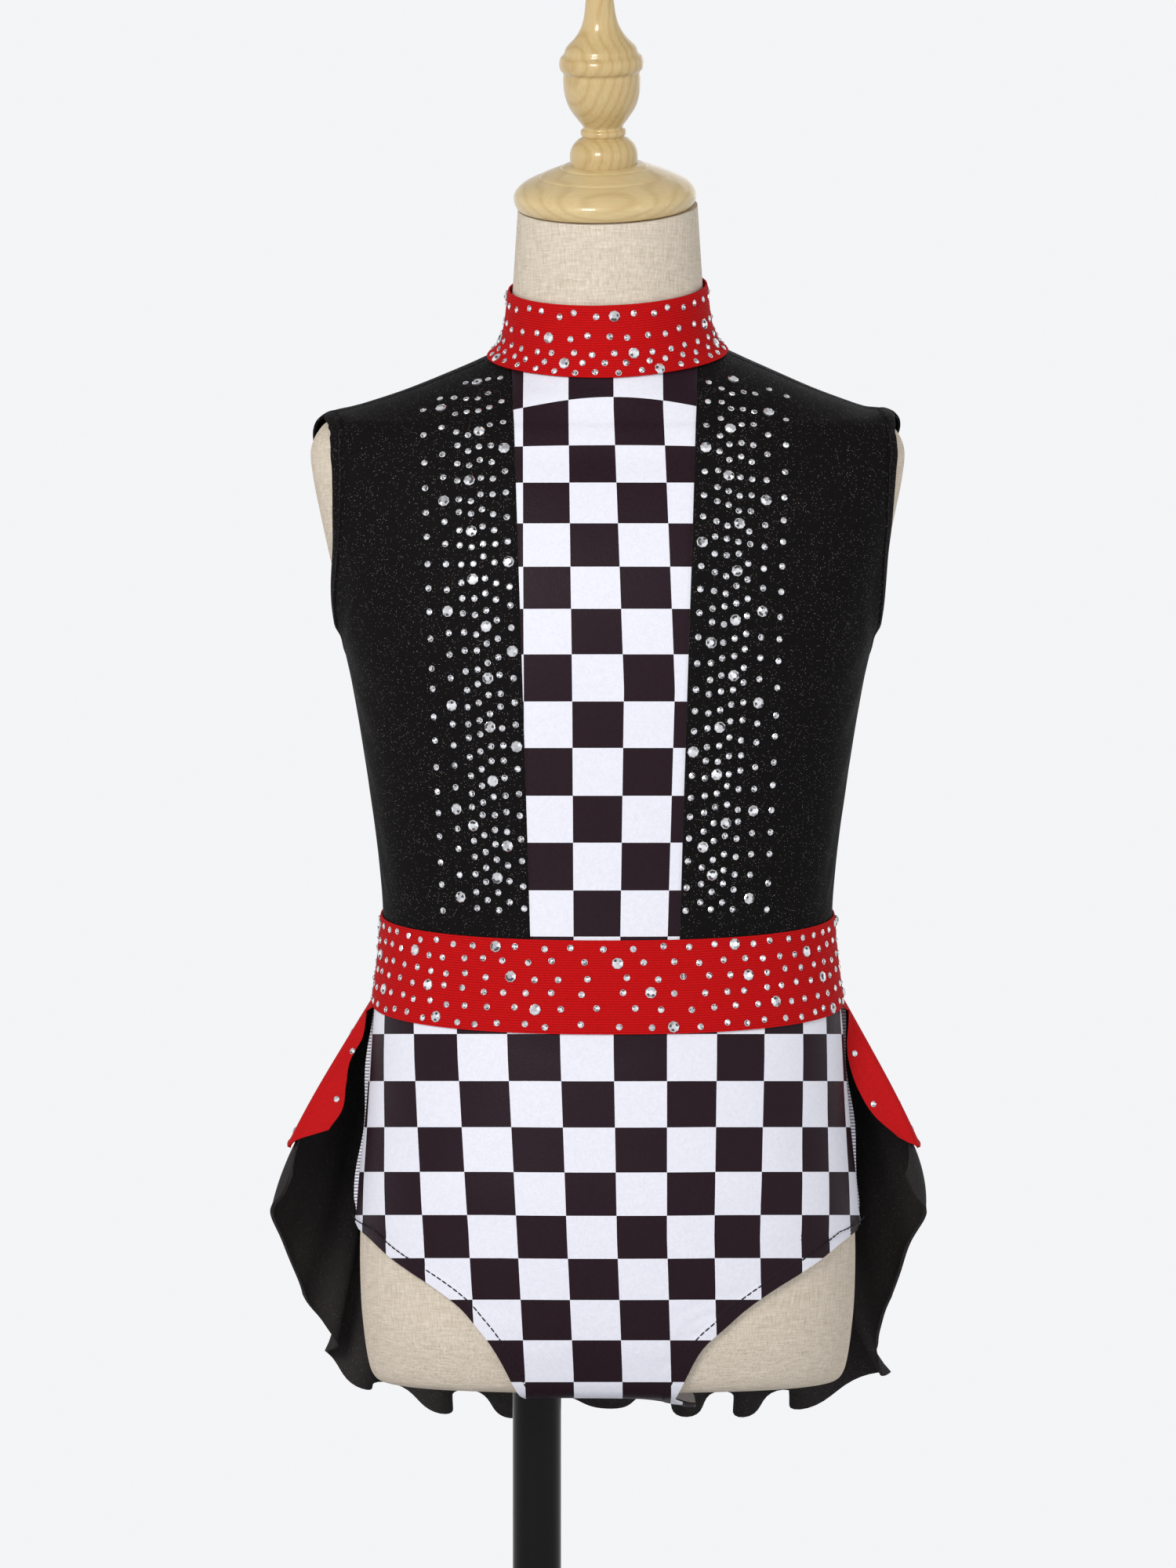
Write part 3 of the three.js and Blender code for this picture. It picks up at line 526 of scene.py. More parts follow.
def flakes_of(finish):
    """Glitter as cells in space: how near the middle of its cell a point is, and a random number
    for each cell."""
    cells = {"Vector": finish.place(), "Scale": FLAKES_PER_METRE}
    tone = finish.node("ShaderNodeTexVoronoi", {}, cells, "Color")
    return (finish.node("ShaderNodeTexVoronoi", {}, cells, "Distance"),
            finish.node("ShaderNodeSeparateColor", {}, {0: tone}, "Red"))


glitter_black = Finish("black_spandex", Roughness=0.6, Specular_IOR_Level=0.02)
fine = glitter_black.noise(glitter_black.place(), 1500, 2)
strewn = glitter_black.noise(glitter_black.place(), 55, 2)
near, pick = flakes_of(glitter_black)
spark = (near < FLAKE) * (pick + 0.3 * strewn > 1.0)
glitter_black.wear(
    Base_Color=glitter_black.mix(spark, glitter_black.mix(fine, colour(7, 7, 7), colour(27, 25, 25)),
                                 glitter_black.mix(pick, colour(66, 62, 61), colour(158, 152, 149))),
    Roughness=0.6 - 0.2 * spark)
glitter_black.bump(fine, 0.0004, 0.5)


def grid_normals(grid):
    """The outward normals of a grid: its steps along the rows crossed with those up the columns."""
    n = np.cross(np.gradient(grid, axis=1), np.gradient(grid, axis=0))
    return n / np.maximum(np.linalg.norm(n, axis=-1, keepdims=True), 1e-9)


def distance_to(grid, line):
    """How far each point of a grid lies from the nearest point of a line."""
    return np.sqrt(((grid[..., None, :] - line) ** 2).sum(-1)).min(-1)


STITCH, STITCH_STEP, THREAD = 3.3, 3.5, 0.34  # mm: a stitch, from one to the next, half its width


def stitch_row(name, edge, inward, inset, grid):
    """A row of stitches beside an edge: each is a short six-sided bead of thread, thin at both
    ends. The row is the edge moved inward by inset and laid on the nearest point of the cloth."""
    path = edge + inward * inset
    flat, normals = grid.reshape(-1, 3), grid_normals(grid).reshape(-1, 3)
    near = ((path[:, None] - flat[None]) ** 2).sum(-1).argmin(1)
    up = normals[near]
    path = path - up * (((path - flat[near]) * up).sum(-1) - 0.08)[:, None]
    run = np.concatenate([[0], np.cumsum(np.linalg.norm(np.diff(path, axis=0), axis=1))])
    starts = np.arange(1.5, run[-1] - STITCH, STITCH_STEP)
    share = np.array([0, 0.18, 0.5, 0.82, 1])
    at = starts[:, None] + share * STITCH
    spots = np.stack([np.interp(at, run, path[:, k]) for k in range(3)], -1)
    tops = np.stack([np.interp(at, run, up[:, k]) for k in range(3)], -1)
    along = np.gradient(spots, axis=1)
    along /= np.linalg.norm(along, axis=-1, keepdims=True)
    side = np.cross(along, tops)
    turn = np.linspace(0, TURN, 6, endpoint=False)
    width = np.array([0.25, 0.9, 1, 0.9, 0.25])[None, :, None, None] * THREAD
    rings = (spots[:, :, None] + width * (side[:, :, None] * np.cos(turn)[:, None] * 1.1
             + tops[:, :, None] * np.sin(turn)[:, None])
             + tops[:, :, None] * (np.array([-0.25, 0.05, 0.12, 0.05, -0.25])[None, :, None, None]))
    points = rings.reshape(-1, 3)
    one = [[r * 6 + k, r * 6 + (k + 1) % 6, r * 6 + 6 + (k + 1) % 6, r * 6 + 6 + k]
           for r in range(4) for k in range(6)]
    one += [[5, 4, 3, 2, 1, 0], [24, 25, 26, 27, 28, 29]]
    faces = [[30 * n + i for i in face] for n in range(len(starts)) for face in one]
    dress(build(name, points, faces), thread)


thread = Finish("dark_thread", Roughness=0.6, Specular_IOR_Level=0.2)
thread.wear(Base_Color=thread.mix(thread.noise(thread.place(), 2200, 1), colour(8, 6, 8), colour(34, 28, 33)))


def black_panel(name, node, side, facing):
    """A panel from the centre seam to the side seam, armhole and shoulder: angles in even steps
    between the two edges of each row, moved out by the cloth, its hem, seams and pulls."""
    rows = np.linspace(WAIST, NECKLINE, 190)[:, None]
    s = section(rows)
    if facing < 0:
        inner_edge = centre_edge(rows, 1, -0.15) if side > 0 else centre_edge(rows, -1, -0.15)
    else:
        inner_edge = angle_at_x(s, side * 0.15 + 0 * rows, 1)
    opening = armhole(rows, side, facing)
    reach = angle_at_depth(s, opening, facing)
    outer_edge = reach if side > 0 else facing * math.pi - reach
    side_first = (side > 0) == (facing > 0)
    start, end = (outer_edge, inner_edge) if side_first else (inner_edge, outer_edge)
    turn = start + (end - start) * np.linspace(0, 1, 97)
    mid = on_form(turn, rows, CLEAR)
    height = mid[..., 2]
    along = run_along(mid)
    from_side = along if side_first else along[:, -1:] - along
    from_middle = along[:, -1:] - from_side
    column = 0 if side_first else -1
    hemmed = opening[:, 0] > 0.5
    off = distance_to(mid, mid[hemmed, column])
    hem = 0.5 * (1 - smoothstep(off, 6.2, 7.2)) - 0.35 * np.exp(-((off - 7.3) / 0.7) ** 2)
    tip = smoothstep(np.abs(mid[..., 0]), 134, 148) * smoothstep(height, 493, 502)
    foot = smoothstep(height, 388, 396) * (1 - smoothstep(height, 402, 440)) * (1 - smoothstep(off, 2, 18))
    stand = (3.2 if side > 0 else 1.2) * tip + 2.3 * foot
    fold = creases(from_side, height, PULLS)
    fold = (fold * smoothstep(from_side, 0, 10) * smoothstep(from_middle, 0, 14)).clip(-1.2, 0) + stand
    seams = turned_in(from_middle) + turned_in(from_side) * np.where(hemmed[:, None], 0.4, 1)
    outer = on_form(turn, rows, CLEAR + WALL + hem + fold + seams)
    points, faces = wall(outer, on_form(turn, rows, CLEAR + fold))
    flat = np.stack([along, height], -1).reshape(-1, 2) / 1000
    piece = build(name, points, faces, np.concatenate([flat, flat]))
    dress(piece, glitter_black, node)
    cut(outer)
    seen = hemmed & (height[:, 0] > 396) & (height[:, column] < 493)
    edge = outer[seen, column]
    inward = np.cross(grid_normals(outer)[seen, column], np.gradient(edge, axis=0))
    inward = inward * (-1 if side_first else 1) / np.linalg.norm(inward, axis=-1, keepdims=True)
    stitch_row(f"{name}_stitches", edge, inward, 6.9, outer[seen])


black_panel("black_front_right", "front_right", 1, -1)
black_panel("black_front_left", "front_left", -1, -1)
black_panel("black_back_right", "back_right", 1, 1)
black_panel("black_back_left", "back_left", -1, 1)


# Collar: a strip of wide ribbed red elastic round the neck, sewn over the neckline. Its ends
# lap at the centre back and close there.
COLLAR_LAP, COLLAR_START = math.radians(11), math.radians(3)
COLLAR_ROWS = np.array([row_at(534.5), NECKLINE + 1, NECKLINE + 2, row_at(572)])


def collar_point(u, v, out):
    """The strip: the angle runs once round and 11 degrees more, the rows climb the neck, and it
    stands 3 mm out on the panels, 1.6 above them, flaring at the foot and rising over its own end."""
    sweep = TURN + COLLAR_LAP
    angle = math.pi / 2 + COLLAR_START + u * sweep
    lapped = smoothstep(u * sweep, TURN - COLLAR_LAP, TURN - 0.1 * COLLAR_LAP)
    clear = 3.0 - 1.4 * smoothstep(v, 0.3, 1) + 0.6 * (1 - v) ** 3 + 1.6 * lapped
    return on_form(angle, np.interp(v * 3, np.arange(4), COLLAR_ROWS), clear + out)


elastic = Finish("red_elastic", Roughness=0.7, Specular_IOR_Level=0.04)
strip = elastic.node("ShaderNodeUVMap", {"uv_map": "cloth"})
RIB_STEP, CROSS_STEP = 0.0013, 0.0011  # m
ribs = (elastic.axis(strip, "Y") * (TURN / RIB_STEP)).math("SINE")
cross = (elastic.axis(strip, "X") * (TURN / CROSS_STEP)).math("SINE")
yarn = elastic.noise(elastic.place(), 1100, 2)
elastic.wear(Base_Color=elastic.mix(
    0.5 + 0.22 * ribs + 0.12 * cross * ribs + 0.5 * (yarn - 0.5), colour(146, 7, 10), colour(216, 24, 26)))
elastic.bump(ribs + 0.4 * cross, 0.0003, 0.6)


BAND = 1.2  # mm, the elastic's thickness


def laid_flat(outer):
    """The UV of both layers, in metres: how far each point lies along its row and up its column."""
    flat = np.stack([run_along(outer), run_along(outer.transpose(1, 0, 2)).T], -1).reshape(-1, 2) / 1000
    return np.concatenate([flat, flat])


def band_piece(name, node, surface, columns, rows, ring):
    """A band of elastic from its own surface function of u, v and the distance out."""
    u, v = np.meshgrid(np.linspace(0, 1, columns, endpoint=not ring), np.linspace(0, 1, rows))
    rounded = 0.5 * (1 - np.minimum(smoothstep(v, 0, 0.04), 1 - smoothstep(v, 0.96, 1)))
    outer, inner = surface(u, v, BAND - rounded), surface(u, v, 0 * v)
    piece = build(name, *wall(outer, inner, ring), laid_flat(outer))
    dress(piece, elastic, node)
    return piece, outer


collar, collar_outer = band_piece("neck_collar", "collar", collar_point, 220, 30, False)
cut(collar_outer)


# Belt: the same red elastic, 47 mm wide, sewn on over the joints of bodice, brief and tail.
BELT_LOW, BELT_HIGH = row_at(198), row_at(245)


def belt_point(u, v, out):
    """The belt: once round the waist, 3 mm off the form, its rows even from edge to edge."""
    return on_form(u * TURN, BELT_LOW + (BELT_HIGH - BELT_LOW) * v, 3.0 + out)


belt, belt_outer = band_piece("waist_belt", "belt", belt_point, 300, 34, True)
cut(np.concatenate([belt_outer, belt_outer[:, :1]], 1))


# Brief: printed white spandex, front and back joined at the sides and at the crotch, where it
# passes the pole. The leg openings have a 7 mm hem with a row of stitches.
LEG_TOP = 84  # mm, where the leg openings end at the side seams
LEG = np.array([  # height, and the brief's half width in front and behind, and its shift left
    (0, 38, 42, 4.2), (1.6, 39.5, 46, 5), (5.5, 42, 53, 5.4), (13, 45.8, 67, 5.5), (20, 49.3, 79, 5.6),
    (27, 53.8, 88, 5.4), (37, 63.3, 99.5, 3.8), (46, 72.4, 107, 2.6), (56, 86.2, 114, 2), (64, 99.3, 119.5, 1.6),
    (70, 108.5, 123, 1.4), (75, 115, 126, 1), (79.5, 121.3, 128, 0.5), (81.5, 125.2, 128.8, 0.2),
    (83, 128.2, 129.5, 0), (LEG_TOP, 130, 130, 0)])
PRINT = np.array([  # height, the print's squares there, and the line that they are counted from, mm
    (-30, 24.6, 8), (13, 24.8, 7.2), (82, 25.3, 4.4), (173, 27, 2.8), (222, 27.6, 2.4)])
BRIEF_LEVELS = [-60, -38, -15.5, 8.4, 29.6, 50.2, 71.3, 93.2, 115.1, 137.8, 161.2, 185.1, 209, 233]


def brief_edges(row, facing):
    """The angles of the brief's left and right edges at a row: the side seams down to the legs,
    then the leg curves, then the strip that narrows under the form."""
    s = section(row)
    under = np.maximum(-row, 0)
    passing = smoothstep(under, 0, 0.75)
    reach = eased(LEG[:, 0], LEG[:, 1 if facing < 0 else 2], s[..., HEIGHT])
    size = np.minimum(reach, s[..., HALF] - 0.4)
    size = size + (32.5 - size) * passing
    shift = -eased(LEG[:, 0], LEG[:, 3], s[..., HEIGHT])
    shift = shift + (13 - shift) * passing
    seam = angle_at_depth(s, 0.15, facing)
    legs = s[..., HEIGHT] < LEG_TOP
    right = np.where(legs, angle_at_x(s, shift + size, facing), seam)
    left = np.where(legs, angle_at_x(s, shift - size, facing), facing * math.pi - seam)
    return left, right


def brief_point(u, row, facing, out):
    """The brief on the form: u runs from its left edge to its right in front, and the other way
    behind, and under the form its right edge droops 7 mm."""
    left, right = brief_edges(row, facing)
    start, end = (left, right) if facing < 0 else (right, left)
    point = on_form(start + (end - start) * u, row, CLEAR + out)
    under = np.maximum(-row, 0)
    side = u if facing < 0 else 1 - u
    point[..., 1] += np.where(under >= 0.999, 0.15 * facing, 0)
    point[..., 2] -= 7 * smoothstep(under, -0.2, 0.7) * smoothstep(side, 0.5, 1)
    return point


# Soft folds of the brief: from and to, as mm right of the middle and height, width and depth.
FRONT_FOLDS = [
    (72, 52, 34, 42, 3.2, 0.55), (62, 44, 36, 34, 2.6, 0.5), (52, 33, 30, 26, 2.8, 0.45),
    (48, 22, 24, 14, 3, 0.4), (-76, 54, -44, 44, 3.4, 0.4), (-54, 34, -30, 27, 3, 0.35),
    (-100, 96, -40, 84, 8, 0.4), (104, 100, 48, 86, 8, 0.4), (-60, 184, 30, 178, 7, 0.35),
    (20, 190, 96, 184, 6, 0.3), (-112, 150, -86, 96, 7, 0.4), (112, 150, 92, 104, 7, 0.35)]
BACK_FOLDS = [
    (-104, 92, -40, 74, 8, 0.6), (104, 90, 36, 70, 8, 0.6), (-60, 40, -12, 22, 6, 0.5),
    (62, 38, 16, 20, 6, 0.5), (-50, 170, 44, 164, 8, 0.4), (-10, 120, 4, 40, 7, 0.5)]


def brief_piece(name, node, facing):
    """Half of the brief: rows close together at the legs, and a print counted in squares from
    the line right of the middle, each 27 mm wide at the belt and 25 at the legs."""
    legs = row_at(LEG_TOP)
    rows = np.concatenate([np.linspace(-1, 0, 26)[:-1], np.linspace(0, legs, 90)[:-1],
                           np.linspace(legs, row_at(221.7), 80)])[:, None]
    u = np.linspace(0, 1, 141)[None, :]
    mid = brief_point(u, rows, facing, np.zeros((1, 1)))
    along = run_along(mid)
    edge = np.minimum(along, along[:, -1:] - along)
    height = section(rows)[..., HEIGHT]
    leg = rows[:, 0] <= legs + 0.02
    off = distance_to(mid, np.concatenate([mid[leg, 0], mid[leg, -1]]))
    hem = 0.45 * (1 - smoothstep(off, 6.4, 7.4)) - 0.25 * np.exp(-((off - 5.9) / 0.6) ** 2)
    seam = smoothstep(height, LEG_TOP, LEG_TOP + 12) * turned_in(edge)
    side = (0.5 - u) * 2 * (1 if facing < 0 else -1)
    fold = creases(mid[..., 0] + 0 * side, mid[..., 2], FRONT_FOLDS if facing < 0 else BACK_FOLDS)
    fold = fold * smoothstep(off, 0, 9) * smoothstep(edge, 0, 9)
    mid = brief_point(u, rows, facing, fold)
    outer = brief_point(u, rows, facing, WALL + hem + seam + fold)
    level = outer[..., 2] + (312 - outer[..., 2]) * 0.03 * (1 - np.abs(outer[..., 1]) / 88).clip(0, 1)
    fall = run_along(outer.transpose(1, 0, 2)).T
    level = np.where(rows < 1, (fall - fall[28:29]) * 0.95 + level[28:29], level)
    pitch, line = (np.interp(level, PRINT[:, 0], PRINT[:, k]) for k in (1, 2))
    middle = np.array([np.interp(0, row_x, row_run) for row_x, row_run in zip(mid[..., 0] * -facing, along)])
    x = (along - middle[:, None]) * -facing
    x = x + (2.2 * smoothstep(x, 36, 72) + 11 * smoothstep(x, 92, 140) if facing < 0 else 0)
    uv = np.stack([(x - line) / pitch, np.interp(level, BRIEF_LEVELS, np.arange(14))], -1).reshape(-1, 2)
    points, faces = wall(outer, mid)
    piece = build(name, points, faces, np.concatenate([uv, uv]))
    dress(piece, checks, node)
    cut(outer)
    normals = grid_normals(outer)
    on_leg = (rows[:, 0] > 0.4) & leg
    for side, column, sign in (("left", 0, 1), ("right", -1, -1)):
        edge = outer[on_leg, column]
        inward = np.cross(normals[on_leg, column], np.gradient(edge, axis=0)) * -sign
        inward = inward / np.linalg.norm(inward, axis=-1, keepdims=True)
        stitch_row(f"{name}_stitches_{side}", edge, inward, 5.9, outer[leg])


brief_piece("checked_brief_front", "brief_front", -1)
brief_piece("checked_brief_back", "brief_back", 1)

# The side seams' trimmed allowance stands out behind the seam as a thin white overlocked edge.
overlock = Finish("white_overlock", Roughness=0.7, Specular_IOR_Level=0.15)
LOOP_STEP = 0.0017  # m, from loop to loop of the overlock thread
loops = (overlock.axis(overlock.place(), "Z") * (TURN / LOOP_STEP)).math("SINE")
overlock.wear(Base_Color=overlock.mix(loops * 0.5 + 0.5, colour(128, 120, 138), colour(250, 250, 253)))
overlock.bump(loops, 0.0003, 0.6)
for name, angle in (("overlock_right", 0.0), ("overlock_left", math.pi)):
    rows = np.linspace(row_at(88), row_at(196), 90)[:, None]
    z = section(rows)[..., HEIGHT]
    wide = 0.6 + 2.0 * (0.5 + 0.5 * np.sin(z * 0.105 + angle)) * smoothstep(z, 88, 96)
    side = on_form(angle, rows, 2.3 + np.linspace(0, 1, 5)[None, :] * wide)
    lift = np.array([0, 0.35, 0])
    front, behind = side - lift, side + lift
    if angle:
        front, behind = behind, front
    dress(build(name, *wall(front, behind)), overlock)


# Tail skirt: two gathered tiers of thin cloth that hang from the belt's lower edge, a long
# black one and a short red one over it, each cut in a curve so that its hem ripples.
RUFFLES, WAVE, LONGEST, PHASE = 14, 12.0, 254.0, 0.35
BLACK_TIER = {"side": 118, "back": 254, "out": 0.5, "spread": 0}
RED_TIER = {"side": 80, "back": 154, "out": 2.2, "spread": 0.02}
TAIL_ROW = BELT_LOW - 0.09


def level_normal(angle):
    """The form's normal at the tail's root, laid level."""
    away = normal_of(form_surface, angle, np.full(np.shape(angle), TAIL_ROW))
    away[..., 2] = 0
    return away / np.linalg.norm(away, axis=-1, keepdims=True)


def tail_surface(tier, around, share):
    """A tier: it starts at the belt, falls by 0.93 of its cut and leans out, by a straight part
    less a squared one. The ripple is a cosine along the normal and a sine of twice the beat
    along the waist, and grows with the fall. The black tier is cut round at its free corners,
    its side hems curl in, and it flares sideways in a bell a quarter of the way round."""
    black = tier is BLACK_TIER
    angle = around * math.pi
    point = on_form(angle, np.full(np.shape(angle), TAIL_ROW), 2.6 + 0 * angle)
    away = level_normal(angle)
    back = np.sin(math.pi * np.clip(around, 0, 1))
    beside = np.minimum(around, 1 - around)
    corner = 0.15 * np.exp(-beside.clip(0) / 0.016) + 0.05 * np.exp(-(beside.clip(0) / 0.045) ** 2)
    length = tier["side"] + (tier["back"] - tier["side"]) * smoothstep(back, 0.1, 0.95)
    fall = share * length * (1 - corner * black)
    drop = 0.93 * fall
    lean = (0.63 - 0.13 * back) * drop - (0.0014 - 0.00075 * back) * drop ** 2
    lean = lean * (0.9 - 0.07 * smoothstep(around, 0.05, 0.13) + 0.17 * smoothstep(around, 0.18, 0.4))
    uneven = 1 + 0.3 * np.sin(TURN * (3.3 * around + 0.1)) + 0.2 * np.sin(TURN * (6.1 * around + 0.6))
    size = WAVE * uneven * smoothstep(back, 0.3, 0.85) * (np.maximum(fall, 0) / LONGEST) ** 1.4
    beat = TURN * (RUFFLES * around + PHASE + 0.2 * np.sin(TURN * (2.3 * around + 0.2)))
    deep = np.clip(fall / 118, 0, 1.5)
    sideways = 1 - smoothstep(back, 0.35, 0.9)
    lean = lean + 3 * sideways * deep ** 1.3 * np.sin(TURN * (5.5 * beside - 0.75 * deep + 0.6))
    lean = lean + 5 * np.exp(-((beside - 0.06) / 0.04) ** 2) * deep ** 2
    curl = (np.clip(share - 0.72, 0, 1) / 0.28) ** 2 * (1 - smoothstep(beside, 0.1, 0.2))
    lean = lean - np.where(around < 0.5, 7, 2.5) * curl * black
    flare = np.exp(-((beside - 0.25) / 0.04) ** 2) * (np.maximum(fall, 0) / 220) ** 5 * black
    across = np.stack([-away[..., 1], away[..., 0], 0 * angle], -1)
    point = point + away * (lean + size * np.cos(beat) + tier["spread"] * fall)[..., None]
    point = point + across * (0.16 * size * np.sin(2 * beat))[..., None]
    point[..., 0] += np.where(around < 0.5, 23, -12) * flare
    point[..., 2] -= drop - 0.42 * size * np.cos(beat)
    return point


def tail_point(tier, around, share, out):
    """The tier moved out along its own normal, so that the two tiers stay apart."""
    flipped = lambda a, b: tail_surface(tier, a, 1 - b)
    around, share = np.broadcast_arrays(np.asarray(around, float), np.asarray(share, float))
    normal = normal_of(flipped, around, 1 - share, 0.002)
    return tail_surface(tier, around, share) + normal * (tier["out"] + np.asarray(out, float))[..., None]


def cloth_of_tail(name, black):
    """Thin cloth: a fine thread bump on a plain colour, a little lighter on the threads. The
    black one has a few flakes of glitter."""
    finish = Finish(name, Roughness=0.75, Specular_IOR_Level=0.04)
    thread = finish.noise(finish.place("cloth", (1, 0.2, 1)), 1500, 2)
    weft = finish.noise(finish.place("cloth", (0.2, 1, 1)), 1500, 2)
    low, high = ((27, 25, 25), (62, 59, 58)) if black else ((152, 12, 16), (208, 32, 34))
    plain = finish.mix(0.5 * (thread + weft), colour(*low), colour(*high))
    if black:
        near, pick = flakes_of(finish)
        plain = finish.mix((near < FLAKE) * (pick > 0.9), plain, colour(128, 124, 121))
    finish.wear(Base_Color=plain)
    finish.bump(thread + weft, 0.0004, 0.4)
    return finish


black_cloth = cloth_of_tail("black_tail_cloth", True)
ROUND = np.linspace(0, 1, RUFFLES * 22 + 1)  # the tiers' columns, 22 to a ruffle
u, v = np.meshgrid(ROUND, np.linspace(0, 1, 44))
rolled = 0.5 * (1 - smoothstep(v, 0, 0.012))
outer = tail_point(BLACK_TIER, u, 1 - v, 1.0 + rolled)
inner = tail_point(BLACK_TIER, u, 1 - v, -rolled)


def sewn_under(outer, inner, angle, low, high):
    """Adds a last row to both layers, where the tier's top edge meets the belt's lower edge
    between low and high mm off the form."""
    top = [on_form(angle, BELT_LOW - 0.004 + 0 * angle, out + 0 * angle)[None] for out in (high, low)]
    return np.concatenate([outer, top[0]]), np.concatenate([inner, top[1]])


outer, inner = sewn_under(outer, inner, math.pi * ROUND, 2.7, 3.2)
tail_black = build("tail_long_tier", *wall(outer, inner), laid_flat(outer))
tail_black.data.materials.append(black_cloth.material)
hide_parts("tail_black")
cut(outer)

# The red tier's ends fold forward round the black tier's edge: share of the drop, and width.
RIGHT_FLAP = np.array([(0, 1), (0.2, 4), (0.42, 12), (0.65, 16), (0.85, 14), (1, 6)], float)
LEFT_FLAP = np.array([(0, 1), (0.25, 4), (0.45, 6), (0.65, 13), (0.85, 19), (1, 17)], float)
FLAP_STEPS, FLAP_TURN = np.linspace(0, 1, 14)[1:], 0.11  # a flap's columns, and its turn round the belt


def red_flap(end, past, share, out):
    """The folded end: an arc of 3.2 mm forward through 112 degrees, then a straight run of the
    flap's width, blended at the top into a ring round the belt."""
    side = 1 - 2 * end
    flap = RIGHT_FLAP if end == 0 else LEFT_FLAP
    start = tail_point(RED_TIER, end + 0 * share, share, 0 * share)
    bend = 3.2 * smoothstep(share, 0, 0.3)
    turned = np.minimum(past * 2, 1) * math.pi * 0.62
    run = np.maximum(past * 2 - 1, 0) * eased(flap[:, 0], flap[:, 1], share)
    ring = on_form((-side) * past * FLAP_TURN + end * math.pi + 0 * share, TAIL_ROW + 0 * share,
                   2.6 + 2.2 + 2 * past + out)
    fold = np.stack([start[..., 0] - side * (bend * (1 - np.cos(turned)) + run * 0.93 - out * np.cos(turned)),
                     start[..., 1] - bend * np.sin(turned) - run * 0.3 - out * np.sin(turned) - 1.2 * past,
                     start[..., 2] + (10 if end else 6) * past * share], -1)
    return ring + (fold - ring) * smoothstep(share, 0, 0.3)[..., None]


def red_tier(out):
    """The tier's grid: the right flap, the tier round the back, and the left flap."""
    share = 1 - np.linspace(0, 1, 40)[:, None]
    past = FLAP_STEPS + 0 * share
    right = red_flap(0, past[:, ::-1], share + 0 * past, out + 0 * past)
    middle = tail_point(RED_TIER, ROUND[None, :], share, out + 0 * share)
    left = red_flap(1, past, share + 0 * past, out + 0 * past)
    return np.concatenate([right, middle, left], 1)


red_cloth = cloth_of_tail("red_tail_cloth", False)
rolled = 0.45 * (1 - smoothstep(np.linspace(0, 1, 40)[:, None], 0, 0.03))
outer, inner = red_tier(1.0 + rolled), red_tier(-rolled)
ends = FLAP_STEPS * FLAP_TURN
outer, inner = sewn_under(outer, inner, np.concatenate([-ends[::-1], math.pi * ROUND, math.pi + ends]), 3.3, 4.2)
tail_red = build("tail_short_tier", *wall(outer, inner), laid_flat(outer))
tail_red.data.materials.append(red_cloth.material)
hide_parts("tail_red")
cut(outer)


# Rhinestones: flat-backed clear glass stones, foiled behind, 3.5 and 6 mm across, glued on one
# by one. Each is a low eight-sided cone with a flat top and a bright girdle, and its facets carry painted
# reflections.
def stones(name, spots, normals, widths, seed):
    """Eight-sided stones: four rings and a flat top, set on each spot along its normal. Every
    face has its own tone, painted into its colour: random light and dark tones on the crown and table as painted
    reflections and glints, and an even mid tone on the girdle."""
    rng = np.random.default_rng(seed)
    count = len(spots)
    side = np.cross([0, 0, 1.0], normals)
    side /= np.maximum(np.linalg.norm(side, axis=1, keepdims=True), 1e-6)
    up = np.cross(normals, side)
    turn = rng.uniform(0, TURN, (count, 1)) + np.linspace(0, TURN, 8, endpoint=False)
    half = widths[:, None] / 2
    rings = []
    for wide, high in ((1.0, -0.12), (1.0, 0.2), (0.84, 0.34), (0.42, 0.56)):
        flat = side[:, None] * np.cos(turn)[..., None] + up[:, None] * np.sin(turn)[..., None]
        rings.append(spots[:, None] + flat * (wide * half)[..., None]
                     + normals[:, None] * (high * half)[..., None])
    points = np.stack(rings, 1).reshape(-1, 3)
    k = np.arange(8)
    one = [[int(r * 8 + a), int(r * 8 + (a + 1) % 8), int(r * 8 + 8 + (a + 1) % 8), int(r * 8 + 8 + a)]
           for r in range(3) for a in k] + [list(range(24, 32))]
    faces = [[32 * n + i for i in face] for n in range(count) for face in one]
    piece = build(name, points, faces, sharp=5)
    # Painted reflections: each face's tone sets how light or dark its colour is, in place of the bright and dark
    # surroundings that the facets would mirror.
    tone = np.concatenate([np.full((count, 8), 0.5), rng.uniform(0.6, 1.0, (count, 8)),
                           rng.choice([0.05, 0.55, 0.9, 1.0], (count, 8)), rng.uniform(0.4, 1.0, (count, 1))], 1)
    piece.data.attributes.new("tone", "FLOAT", "FACE").data.foreach_set("value", tone.astype(np.float32).ravel())
    piece.data.materials.append(glass.material)
    return piece


glass = Finish("clear_rhinestone", Roughness=0.12, Metallic=0.75, Coat_Weight=1.0, Coat_Roughness=0.03)
# The tone attribute paints each facet light or dark: painted reflections and glints, not the glass's own colour.
tone = glass.node("ShaderNodeAttribute", {"attribute_name": "tone"}, {}, "Fac")
glass.wear(Base_Color=glass.mix(tone, colour(42, 42, 46), colour(250, 251, 254)))


def on_bodice(x, height, out=2.75):
    """Spots and normals on the bodice's front, from mm aside and height at the front."""
    row = row_at(height)
    for _ in range(12):
        s = section(row)
        angle = angle_at_x(s, x, -1)
        z = form_surface(angle, row)[..., 2]
        row = row_at(np.interp(row, np.arange(len(FORM)), FORM[:, HEIGHT]) + (height - z))
    angle = angle_at_x(section(row), x, -1)
    return on_form(angle, row, out + 0 * x), normal_of(form_surface, angle, row)


SMALL, LARGE = 3.4, 5.9  # mm across


